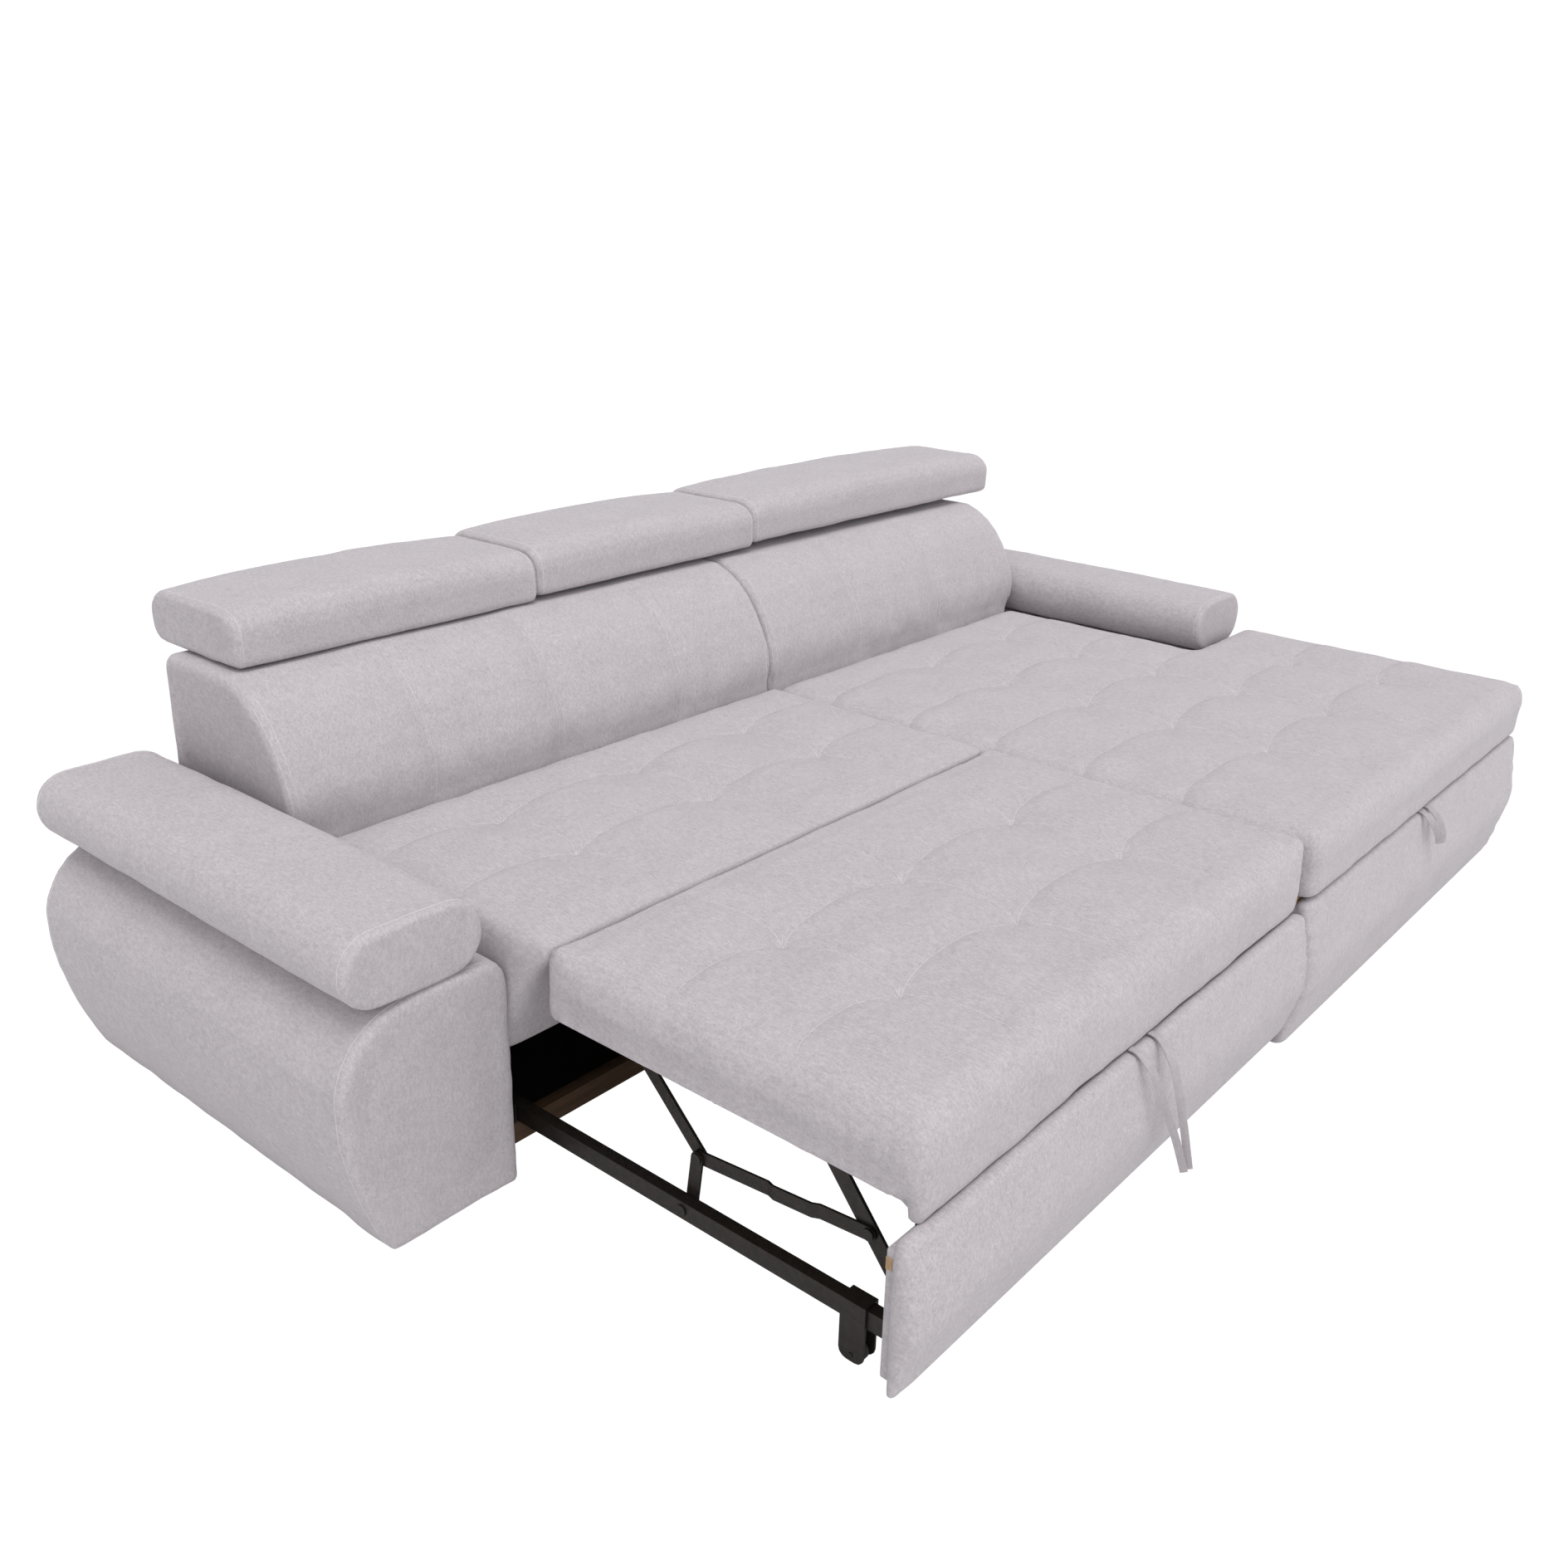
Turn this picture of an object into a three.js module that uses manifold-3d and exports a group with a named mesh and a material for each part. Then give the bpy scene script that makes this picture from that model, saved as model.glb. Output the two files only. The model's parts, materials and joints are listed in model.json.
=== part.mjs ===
// Corner sleeper sofa with a pull-out bed, three tilting headrests and a chaise with a storage box.
// X runs from the left arm to the chaise, Y from the front to the back, and Z is up.
// While it is modelled, X is zero at the left arm's inner face, Y at the arm fronts and Z at the
// underside of the frame. The finished group is then centred over the floor and lifted on its feet.
import * as THREE from 'three';
import Module from 'manifold-3d';
import { mergeVertices } from 'three/addons/utils/BufferGeometryUtils.js';

const wasm = await Module();
wasm.setup();

// Main sizes, in millimetres
const clearance = 0.4;
const footHeight = 15;
const innerWidth = 2120;
const bedBayWidth = 1160;
const frameDepth = 860;
const frontReach = 775;
const seatDepth = 490;
const seatHeight = 430;
const backHeight = 684;
const boxHeight = 297;
const boardThickness = 18;
const floorGap = 12;

// Arms
const armWidth = 298;
const armHeight = 400;
const armEdge = 10;
const rightArmReach = 40;
const padInner = 41;
const padOuter = 276;
const padHeight = 116;
const padLength = 880;
const padRound = 56;
const padEdge = 9;
const padCrown = 4;

// Backrests
const backTopDepth = 210;
const backEdge = 13;
const backTopRound = 24;
const backFold = 400;
const backSwell = 640;
const backSwellReach = 6;
const backSideSwell = 36;
const backSideRamp = 40;
const channelDepth = 7;
const channelSpread = 55;
const channelWidth = 16;

// Headrests
const headDepth = 281;
const headHeight = 102;
const headFrontRound = 15.6;
const headRearRound = 34;
const headTopRound = 48;
const headEdge = 9;
const headCrown = 5;
const headLeftOverhang = 20;
const headRightOverhang = 102;

// Seat, mattress and chaise cushions
const cushionSide = 1.6;
const cushionEdge = 40;
const seatGridStep = 95;
const cellMinimum = 3;
const chaiseGridStep = 105;
const chaiseSideDraw = 3;
const chaiseFootDraw = 12;
const chaiseFootRound = 8;
const chaiseArmGap = 1;
const cornerRound = 34;
const crown = 7;
const tuftDepth = 13;
const tuftRadius = 42;
const noseReach = 60;
const seatBase = 250;
const noseTop = 402;
const noseBottom = 215;
const deckFront = 42;
const mattressSide = 6;
const mattressSetback = 37;
const mattressFront = frontReach - mattressSetback;
const mattressRear = 77;
const mattressUnder = 334;
const mattressLip = 310.5;
const mattressEnd = 48;
const chaiseSetback = 21;
const chaiseFront = frontReach - chaiseSetback;
const chaiseBeyondArm = 280;
const chaiseSide = innerWidth + chaiseBeyondArm;
const chaiseNotchGap = 52;
const cushionBase = 312;

// Base, chaise box and front panels
const panelDepth = 71;
const panelTopSetback = 25;
const panelBottomSetback = 37;
const panelRear = frontReach - panelDepth;
const panelTopFront = frontReach - panelTopSetback;
const panelBottomFront = frontReach - panelBottomSetback;
const panelTop = 304;
const chaisePanelTop = 309;
const panelBottom = 48;
const panelOverlap = 36;
const panelEdge = 24;
const panelTopRound = 14;
const panelFrontRound = 12;
const panelBoardDrop = 42;
const panelBulgeRound = 130;
const panelCornerRound = 22;
const lidInset = 8;
const lidGap = 3;
const dustCoverThickness = 1.6;
const crossRailFront = 66;
const crossRailTop = 49.6;
const crossRailWidth = 22;
const cleatWidth = 20;
const cleatHeight = 20;
const footRadius = 24;
const footInset = 60;

// Bed carriage
const railOffset = 52;
const railWidth = 20;
const railHeight = 30;
const railBottom = 54;
const railRear = 420;
const guideWall = 3.6;
const guideBackGap = 4;
const guideRear = frameDepth - boardThickness - guideBackGap;
const bracketWall = 4;
const bracketWidth = 42;
const bracketBottom = -9;
const bracketCorner = 14;
const wheelSetback = 88;
const wheelBack = panelRear - wheelSetback;
const wheelRadius = 16;
const wheelWidth = 12;
const axleRadius = 4;
const hingePlateWidth = 34;
const hingePlateTop = 108;

// Folding linkage: its pivots lie forward of the arm fronts by shares of the mattress's reach, in
// the order front, platform front, short link, knee, platform rear
const pivotShares = [0.93225, 0.70596, 0.40515, 0.41938, 0.22412];
const frontPivotHeight = 90;
const platformFrontPivotHeight = 295;
const shortPivotHeight = 69;
const kneePivotHeight = 152;
const platformRearPivotHeight = 293;
const linkPivotShare = 0.441;
const barLayerGap = 0.4;
const shortPlateGap = 0.2;
const cutMargin = 1;
const shortLinkThickness = 4;
const linkThickness = 4;
const leverThickness = 5;
const leverWidth = 27;
const linkWidth = 22;
const pinRadius = 5;
const pinClearance = 0.8;
const rivetRadius = 9;
const rivetHeight = 2.8;
const joggleStartShare = 0.27;
const joggleEndShare = 0.57;
const joggleRamp = 12;
const crossTubeRadius = 10;
const crossTubeSetback = 60;
const platformRailWidth = 20;
const platformRailBottom = 286;
const platformRailHeight = 30;
const platformSetback = 48;
const platformFront = mattressFront - platformSetback;
const platformRear = 100;
const platformCrossInset = 40;
const platformCrossHeight = 22;

// Pull straps
const strapWidth = 16;
const strapThickness = 1.6;
const strapDrop = 185;
const strapSpread = 46;
const bedStrapX = 585;
const chaiseStrapX = 1760;
const chaiseStrapDrop = 64;

const fabric = { color: 0xc6bfc5, roughness: 0.95, metalness: 0 };
const steel = { color: 0x2b2624, roughness: 0.45, metalness: 0.7 };
const wood = { color: 0xb98d62, roughness: 0.75, metalness: 0 };
const blackPlastic = { color: 0x1b1b1c, roughness: 0.6, metalness: 0 };

const sofa = new THREE.Group();

function addPiece(name, geometry, finish, place = {}) {
  const mesh = new THREE.Mesh(geometry, new THREE.MeshStandardMaterial(finish));
  mesh.name = name;
  mesh.position.set(place.x ?? 0, place.y ?? 0, place.z ?? 0);
  mesh.rotation.x = place.turn ?? 0;
  sofa.add(mesh);
  return mesh;
}

// Geometry helpers

// A matrix that turns a flat shape and its depth so that the depth runs along the named axis.
function basisFor(axis) {
  const [x, y, z] = [[1, 0, 0], [0, 1, 0], [0, 0, 1]].map((v) => new THREE.Vector3(...v));
  const columns = { x: [y, z, x], y: [x, z, y.clone().negate()], z: [x, y, z] }[axis];
  return new THREE.Matrix4().makeBasis(...columns);
}

// A prism of an outline, from start to end along an axis. Holes are [a, b, radius].
function prism(axis, outline, start, end, holes = []) {
  const shape = new THREE.Shape(outline.map(([a, b]) => new THREE.Vector2(a, b)));
  for (const [a, b, radius] of holes) {
    const hole = circleOutline(a, b, radius, 12).reverse();
    shape.holes.push(new THREE.Path(hole.map(([p, q]) => new THREE.Vector2(p, q))));
  }
  const geometry = new THREE.ExtrudeGeometry(shape, { depth: end - start, bevelEnabled: false });
  geometry.applyMatrix4(basisFor(axis));
  const shift = { x: [start, 0, 0], y: [0, end, 0], z: [0, 0, start] }[axis];
  return geometry.translate(...shift);
}

function box(x0, x1, y0, y1, z0, z1) {
  const geometry = new THREE.BoxGeometry(x1 - x0, y1 - y0, z1 - z0);
  return geometry.translate((x0 + x1) / 2, (y0 + y1) / 2, (z0 + z1) / 2);
}

function circleOutline(a, b, radius, steps) {
  return Array.from({ length: steps }, (unused, i) => {
    const angle = (2 * Math.PI * i) / steps;
    return [a + radius * Math.cos(angle), b + radius * Math.sin(angle)];
  });
}

// Half a corner's angle above which its two sides are taken as one straight line.
const straightCorner = 1.56;

// A closed outline of straight sides whose corners, given as [a, b, radius], are rounded.
function filleted(corners, steps = 5) {
  const points = [];
  corners.forEach(([a, b, radius = 0], i) => {
    const corner = new THREE.Vector2(a, b);
    const before = corners[(i + corners.length - 1) % corners.length];
    const after = corners[(i + 1) % corners.length];
    const toBefore = new THREE.Vector2(before[0], before[1]).sub(corner).normalize();
    const toAfter = new THREE.Vector2(after[0], after[1]).sub(corner).normalize();
    const half = Math.acos(THREE.MathUtils.clamp(toBefore.dot(toAfter), -1, 1)) / 2;
    if (radius === 0 || half > straightCorner) {
      points.push([a, b]);
      return;
    }
    const inward = toBefore.clone().add(toAfter).normalize();
    const centre = corner.clone().addScaledVector(inward, radius / Math.sin(half));
    const first = corner.clone().addScaledVector(toBefore, radius / Math.tan(half)).sub(centre);
    const last = corner.clone().addScaledVector(toAfter, radius / Math.tan(half)).sub(centre);
    const from = first.angle();
    let sweep = last.angle() - from;
    sweep -= 2 * Math.PI * Math.round(sweep / (2 * Math.PI));
    for (let k = 0; k <= steps; k += 1) {
      const angle = from + (sweep * k) / steps;
      points.push([centre.x + radius * Math.cos(angle), centre.y + radius * Math.sin(angle)]);
    }
  });
  return points;
}

function outlineBounds(outline) {
  const a = outline.map((p) => p[0]);
  const b = outline.map((p) => p[1]);
  return [Math.min(...a), Math.max(...a), Math.min(...b), Math.max(...b)];
}

// The same outline, smaller by an inset on every side.
function shrunk(outline, inset) {
  const [a0, a1, b0, b1] = outlineBounds(outline);
  const [ca, cb] = [(a0 + a1) / 2, (b0 + b1) / 2];
  const [sa, sb] = [1 - (2 * inset) / (a1 - a0), 1 - (2 * inset) / (b1 - b0)];
  return outline.map(([a, b]) => [ca + (a - ca) * sa, cb + (b - cb) * sb]);
}

// Triangles over an outline. Its points are nudged by a hair's breadth, and by more if need be, so
// that none is left out where several lie in line.
function capTriangles(outline) {
  let [contour, faces] = [[], []];
  for (let nudge = clearance / 100; nudge < clearance && faces.length < outline.length - 2; nudge *= 2) {
    const reach = nudge;
    contour = outline.map(([a, b], i) => (
      new THREE.Vector2(a + reach * Math.sin(i * i), b + reach * Math.cos(i * i))));
    faces = THREE.ShapeUtils.triangulateShape(contour, []);
  }
  const area = faces.reduce((sum, [i, j, k]) => {
    const [p, q, r] = [contour[i], contour[j], contour[k]];
    return sum + (q.x - p.x) * (r.y - p.y) - (q.y - p.y) * (r.x - p.x);
  }, 0);
  return area > 0 ? faces : faces.map(([i, j, k]) => [i, k, j]);
}

// One closed body from vertices and triangles, turned the right way out.
function closedBody(points, triangles) {
  let volume = 0;
  for (const [i, j, k] of triangles) {
    const [p, q, r] = [points[i], points[j], points[k]];
    volume += p[0] * (q[1] * r[2] - q[2] * r[1]);
    volume += p[1] * (q[2] * r[0] - q[0] * r[2]);
    volume += p[2] * (q[0] * r[1] - q[1] * r[0]);
  }
  const facing = volume > 0 ? triangles : triangles.map(([i, j, k]) => [i, k, j]);
  const geometry = new THREE.BufferGeometry();
  geometry.setAttribute('position', new THREE.Float32BufferAttribute(points.flat(), 3));
  geometry.setIndex(facing.flat());
  geometry.computeVertexNormals();
  return geometry;
}

// A body through a row of outlines with as many points each, along an axis.
function loft(axis, stations) {
  const lift = {
    x: (at, [a, b]) => [at, a, b],
    y: (at, [a, b]) => [a, at, b],
    z: (at, [a, b]) => [a, b, at],
  }[axis];
  const counterClockwise = stations.map(({ at, outline }) => {
    const area = THREE.ShapeUtils.area(outline.map(([a, b]) => new THREE.Vector2(a, b)));
    return { at, outline: area > 0 ? outline : [...outline].reverse() };
  });
  const count = stations[0].outline.length;
  const points = counterClockwise.flatMap(({ at, outline }) => outline.map((p) => lift(at, p)));
  const triangles = [];
  for (let i = 0; i + 1 < stations.length; i += 1) {
    for (let j = 0; j < count; j += 1) {
      const [a, b] = [i * count + j, i * count + ((j + 1) % count)];
      triangles.push([a, b, b + count], [a, b + count, a + count]);
    }
  }
  const last = (stations.length - 1) * count;
  for (const [i, j, k] of capTriangles(counterClockwise[0].outline)) triangles.push([i, k, j]);
  for (const [i, j, k] of capTriangles(counterClockwise.at(-1).outline)) {
    triangles.push([last + i, last + j, last + k]);
  }
  return closedBody(points, triangles);
}

// A padded bar: one outline run along an axis, its end edges rounded, and shaped on the way.
function paddedBar(axis, start, end, outline, edge, stops = [], shape = (at, line) => line) {
  const stations = [];
  const steps = 3;
  for (let k = 0; k <= steps; k += 1) {
    const angle = (Math.PI / 2) * (k / steps);
    const inset = edge * (1 - Math.sin(angle));
    const travel = edge * (1 - Math.cos(angle));
    stations.push({ at: start + travel, inset }, { at: end - travel, inset });
  }
  for (const at of stops) {
    if (at > start + edge && at < end - edge) stations.push({ at, inset: 0 });
  }
  stations.sort((p, q) => p.at - q.at);
  return loft(axis, stations.map(({ at, inset }) => ({ at, outline: shape(at, shrunk(outline, inset)) })));
}

// Joining and cutting

function toManifold(geometry) {
  const bare = geometry.clone();
  bare.deleteAttribute('normal');
  bare.deleteAttribute('uv');
  const merged = mergeVertices(bare, clearance / 3000);
  return new wasm.Manifold(new wasm.Mesh({
    numProp: 3,
    vertProperties: new Float32Array(merged.attributes.position.array),
    triVerts: new Uint32Array(merged.index.array),
  }));
}

function toGeometry(manifold) {
  const mesh = manifold.getMesh();
  const geometry = new THREE.BufferGeometry();
  const stride = mesh.numProp;
  const positions = [];
  for (let i = 0; i < mesh.vertProperties.length; i += stride) {
    positions.push(...mesh.vertProperties.slice(i, i + 3));
  }
  geometry.setAttribute('position', new THREE.Float32BufferAttribute(positions, 3));
  geometry.setIndex([...mesh.triVerts]);
  geometry.computeVertexNormals();
  return geometry;
}

function joined(first, ...others) {
  return toGeometry(others.reduce((sum, next) => sum.add(toManifold(next)), toManifold(first)));
}

function cutBy(first, ...others) {
  return toGeometry(others.reduce((sum, next) => sum.subtract(toManifold(next)), toManifold(first)));
}

function overlapOf(first, second) {
  return toGeometry(toManifold(first).intersect(toManifold(second)));
}

// Cushions

// Grid lines through the named stops, with more between them where they lie far apart. A stop that
// lies too close to one named before it is left out.
function gridLines(stops, step) {
  const apart = stops.filter((value, i) => (
    stops.slice(0, i).every((other) => Math.abs(value - other) > cellMinimum || value === other)));
  const kept = [...new Set(apart)].sort((p, q) => p - q);
  const lines = [kept[0]];
  for (let i = 1; i < kept.length; i += 1) {
    const parts = Math.max(1, Math.round((kept[i] - kept[i - 1]) / step));
    for (let k = 1; k <= parts; k += 1) lines.push(kept[i - 1] + ((kept[i] - kept[i - 1]) * k) / parts);
  }
  return lines;
}

// Stops that follow a rounded edge inwards from a face; inward is 1 or -1.
function edgeStops(face, inward, edge) {
  const edgeShares = [0, 0.12, 0.45, 1];
  return edgeShares.map((share) => face + inward * edge * share);
}

function segmentDistance(x, y, [x0, y0], [x1, y1]) {
  const [dx, dy] = [x1 - x0, y1 - y0];
  const t = THREE.MathUtils.clamp(((x - x0) * dx + (y - y0) * dy) / (dx * dx + dy * dy), 0, 1);
  return Math.hypot(x - x0 - t * dx, y - y0 - t * dy);
}

function insidePlan(x, y, plan) {
  let inside = false;
  plan.forEach(([x0, y0], i) => {
    const [x1, y1] = plan[(i + 1) % plan.length];
    if (y0 > y !== y1 > y && x < ((x1 - x0) * (y - y0)) / (y1 - y0) + x0) inside = !inside;
  });
  return inside;
}

// A cushion over a plan with square corners. Its top is crowned and dented by tufts, its edge is
// rounded, and side gives the places of one of its edge points in each ring below the edge.
function cushion({ plan, xStops, yStops, step, top, edge, tufts, side }) {
  const xLines = gridLines(xStops, step);
  const yLines = gridLines(yStops, step);
  const depthIn = (x, y) => Math.min(...plan.map((p, i) => (
    segmentDistance(x, y, p, plan[(i + 1) % plan.length]))));
  const corners = plan.filter(([x, y]) => {
    const tested = [[-1, -1], [-1, 1], [1, -1], [1, 1]];
    return tested.filter(([sx, sy]) => insidePlan(x + sx, y + sy, plan)).length === 1;
  });
  const roundCorner = (x, y) => {
    for (const [cx, cy] of corners) {
      const sx = insidePlan(cx + 1, cy + 1, plan) || insidePlan(cx + 1, cy - 1, plan) ? -1 : 1;
      const sy = insidePlan(cx - 1, cy + 1, plan) || insidePlan(cx + 1, cy + 1, plan) ? -1 : 1;
      const u = ((x - (cx - sx * cornerRound)) * sx) / cornerRound;
      const v = ((y - (cy - sy * cornerRound)) * sy) / cornerRound;
      if (u > 0 && v > 0 && u <= 1.001 && v <= 1.001) {
        const roundU = u * Math.sqrt(1 - (v * v) / 2);
        const roundV = v * Math.sqrt(1 - (u * u) / 2);
        return [cx - sx * cornerRound * (1 - roundU), cy - sy * cornerRound * (1 - roundV)];
      }
    }
    return [x, y];
  };
  const heightAt = (x, y) => {
    const inset = depthIn(x, y);
    const fall = Math.max(0, edge - inset);
    const rounding = edge - Math.sqrt(Math.max(0, edge * edge - fall * fall));
    const swell = crown * (1 - Math.exp(-inset / (2 * edge)));
    const dents = tufts.map(([tx, ty]) => Math.exp(-(((x - tx) ** 2 + (y - ty) ** 2) / tuftRadius ** 2)));
    return top - rounding + swell - tuftDepth * Math.max(0, ...dents);
  };
  const points = [];
  const nodes = new Map();
  const nodeAt = (i, j) => {
    const key = `${i},${j}`;
    if (!nodes.has(key)) {
      nodes.set(key, points.length);
      points.push([...roundCorner(xLines[i], yLines[j]), heightAt(xLines[i], yLines[j])]);
    }
    return nodes.get(key);
  };
  const kept = (i, j) => i >= 0 && j >= 0 && i + 1 < xLines.length && j + 1 < yLines.length
    && insidePlan((xLines[i] + xLines[i + 1]) / 2, (yLines[j] + yLines[j + 1]) / 2, plan);
  const triangles = [];
  const nextOnEdge = new Map();
  for (let i = 0; i + 1 < xLines.length; i += 1) {
    for (let j = 0; j + 1 < yLines.length; j += 1) {
      if (!kept(i, j)) continue;
      const [a, b, c, d] = [nodeAt(i, j), nodeAt(i + 1, j), nodeAt(i + 1, j + 1), nodeAt(i, j + 1)];
      triangles.push([a, b, c], [a, c, d]);
      if (!kept(i, j - 1)) nextOnEdge.set(a, b);
      if (!kept(i + 1, j)) nextOnEdge.set(b, c);
      if (!kept(i, j + 1)) nextOnEdge.set(c, d);
      if (!kept(i - 1, j)) nextOnEdge.set(d, a);
    }
  }
  const loop = [nextOnEdge.keys().next().value];
  while (nextOnEdge.get(loop.at(-1)) !== loop[0]) loop.push(nextOnEdge.get(loop.at(-1)));
  const outward = loop.map((node, i) => {
    const before = points[loop[(i + loop.length - 1) % loop.length]];
    const after = points[loop[(i + 1) % loop.length]];
    return new THREE.Vector2(after[1] - before[1], before[0] - after[0]).normalize();
  });
  let ring = loop;
  const ringCount = side(outward[0], points[loop[0]]).length;
  for (let k = 0; k < ringCount; k += 1) {
    const nextRing = loop.map((node, i) => {
      points.push(side(outward[i], points[node])[k]);
      return points.length - 1;
    });
    ring.forEach((node, i) => {
      const next = (i + 1) % ring.length;
      triangles.push([node, nextRing[i], nextRing[next]], [node, nextRing[next], ring[next]]);
    });
    ring = nextRing;
  }
  for (const [i, j, k] of capTriangles(ring.map((node) => points[node]))) {
    triangles.push([ring[i], ring[k], ring[j]]);
  }
  return closedBody(points, triangles);
}

// Arms with their rolled pads

const armOutlineShares = [
  [0, 0.86], [0.02, 0.93], [0.07, 0.975], [0.16, 0.992], [0.3, 0.997], [0.52, 0.994],
  [0.75, 0.965], [0.9, 0.88], [0.985, 0.76],
  [1, 0.66], [0.99, 0.5], [0.92, 0.27], [0.83, 0.085], [0.775, 0],
];

const padStopShares = [0.15, 0.35, 0.65, 0.85];

function buildArm(side, outward, inner, front) {
  const place = (share) => inner + outward * armWidth * share;
  const through = armOutlineShares.map(([a, b]) => new THREE.Vector2(place(a), armHeight * b));
  const outline = new THREE.SplineCurve(through).getPoints(28).map((p) => [p.x, p.y]);
  outline.push([inner, 0]);
  const crest = Math.max(...outline.map(([, b]) => b));
  addPiece(`${side}_arm_body`, paddedBar('y', front, frameDepth, outline, armEdge), fabric);

  const bottom = crest + clearance;
  const [near, far] = [inner + outward * padInner, inner + outward * padOuter];
  const padOutline = filleted([
    [near, bottom, padRound],
    [far, bottom, padRound],
    [far, bottom + padHeight, padRound],
    [near, bottom + padHeight, padRound],
  ], 6);
  const swell = (at, line) => {
    const rise = padCrown * Math.sin(Math.PI * THREE.MathUtils.clamp(at / padLength, 0, 1));
    return line.map(([a, b]) => [a, b + (rise * (b - bottom)) / padHeight]);
  };
  const stops = padStopShares.map((share) => padLength * share);
  addPiece(`${side}_arm_pad`, paddedBar('y', front, padLength, padOutline, padEdge, stops, swell), fabric);
}

buildArm('left', -1, 0, 0);
buildArm('right', 1, innerWidth, -rightArmReach);

// Backrests with sewn channels, on the seat decks

function buildBackrest(name, start, end, seamShares, outward) {
  const frontTop = frameDepth - backTopDepth;
  const rise = new THREE.QuadraticBezierCurve(
    new THREE.Vector2(seatDepth, backFold),
    new THREE.Vector2(seatDepth + backSwellReach, backSwell),
    new THREE.Vector2(frontTop, backHeight),
  ).getPoints(8).map((p) => [p.x, p.y]);
  const rear = filleted([
    [seatDepth, seatBase],
    [frontTop, backHeight],
    [frameDepth, backHeight, backTopRound],
    [frameDepth, seatBase],
  ], 3);
  const outline = [
    [seatDepth, seatBase], ...rise, ...rear.slice(2, -1),
    [frameDepth, backFold + backSideRamp], [frameDepth, backFold], [frameDepth, seatBase],
  ];
  const seams = seamShares.map((share) => start + (end - start) * share);
  const offsets = [-channelSpread, -channelWidth, 0, channelWidth, channelSpread];
  const stops = seams.flatMap((x) => offsets.map((offset) => x + offset));
  const pinch = (at, line) => {
    const near = Math.min(...seams.map((x) => Math.abs(at - x)));
    const depth = channelDepth * Math.max(0, 1 - near / channelSpread) ** 2;
    return line.map(([a, b]) => [a < frontTop && b > backFold ? a + depth : a, b]);
  };
  const geometry = paddedBar('x', start, end, outline, backEdge, stops, pinch);
  // Above the arm the outer end swells over it.
  const outerEnd = outward < 0 ? start : end;
  const places = geometry.attributes.position;
  for (let i = 0; i < places.count; i += 1) {
    const near = 1 - Math.abs(places.getX(i) - outerEnd) / (2 * channelSpread);
    const above = (places.getZ(i) - backFold) / backSideRamp;
    const share = THREE.MathUtils.clamp(near, 0, 1) * THREE.MathUtils.clamp(above, 0, 1);
    places.setX(i, places.getX(i) + outward * backSideSwell * share);
  }
  const armSide = outward < 0 ? [-armWidth, start] : [end, innerWidth + armWidth];
  const armRoom = box(...armSide, 0, frameDepth + backEdge, 0, armHeight + clearance);
  addPiece(name, cutBy(geometry, armRoom), fabric);
}

const leftSeamShares = [0.219, 0.479, 0.7575];
const rightSeamShares = [0.342, 0.684];
buildBackrest('left_backrest', cushionSide, bedBayWidth - cushionSide, leftSeamShares, -1);
buildBackrest('right_backrest', bedBayWidth + cushionSide, innerWidth - cushionSide, rightSeamShares, 1);

// Headrests: each turns up about the centre of its front lower edge

const headFront = frameDepth - backTopDepth;
const headBottom = backHeight + clearance;
const headAxis = [headFront + headFrontRound, headBottom + headFrontRound];
const headJointShares = [0.302, 0.606];

const headStopShares = [0.2, 0.4, 0.6, 0.8];

function buildHeadrest(name, start, end) {
  const top = headBottom + headHeight;
  const outline = filleted([
    [headFront, headBottom, headFrontRound],
    [headFront + headDepth, headBottom, headRearRound],
    [headFront + headDepth, top, headTopRound],
    [headFront, top, headTopRound],
  ], 4);
  const middle = (start + end) / 2;
  const swell = (at, line) => {
    const rise = headCrown * Math.cos((Math.PI * (at - middle)) / (end - start));
    return line.map(([a, b]) => [a, b + (rise * (b - headBottom)) / headHeight]);
  };
  const stops = headStopShares.map((share) => start + (end - start) * share);
  addPiece(`${name}_headrest`, paddedBar('x', start, end, outline, headEdge, stops, swell), fabric);
}

const headJoints = headJointShares.map((share) => innerWidth * share);
buildHeadrest('left', -headLeftOverhang, headJoints[0] - cushionSide);
buildHeadrest('middle', headJoints[0] + cushionSide, headJoints[1] - cushionSide);
buildHeadrest('right', headJoints[1] + cushionSide, innerWidth + headRightOverhang);

// Base: back panel, front cross rail and the two seat decks with their cleats

const deckTop = seatBase - clearance;
const deckBottom = deckTop - boardThickness;
const deckRear = frameDepth - boardThickness - clearance;
const bayLeft = clearance;
const bayRight = bedBayWidth - clearance;
addPiece('back_panel', box(clearance, innerWidth - clearance, frameDepth - boardThickness, frameDepth,
  floorGap, deckTop), fabric);

function buildDeck(name, left, right, front, withCleats) {
  const cleatBottom = deckBottom - cleatHeight;
  const outline = withCleats ? [
    [left, cleatBottom], [left + cleatWidth, cleatBottom], [left + cleatWidth, deckBottom],
    [right - cleatWidth, deckBottom], [right - cleatWidth, cleatBottom], [right, cleatBottom],
    [right, deckTop], [left, deckTop],
  ] : [[left, deckBottom], [right, deckBottom], [right, deckTop], [left, deckTop]];
  addPiece(name, prism('y', outline, front, deckRear), wood);
}

buildDeck('seat_deck', bayLeft, bayRight, deckFront, true);
addPiece('dust_cover', box(bayLeft, bayRight, crossRailFront + crossRailWidth + clearance, deckRear,
  floorGap, floorGap + dustCoverThickness), blackPlastic);
addPiece('base_cross_rail', box(bayLeft, bayRight, crossRailFront, crossRailFront + crossRailWidth,
  floorGap, crossRailTop), wood);

// Left seat cushion with its undercut nose

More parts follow.
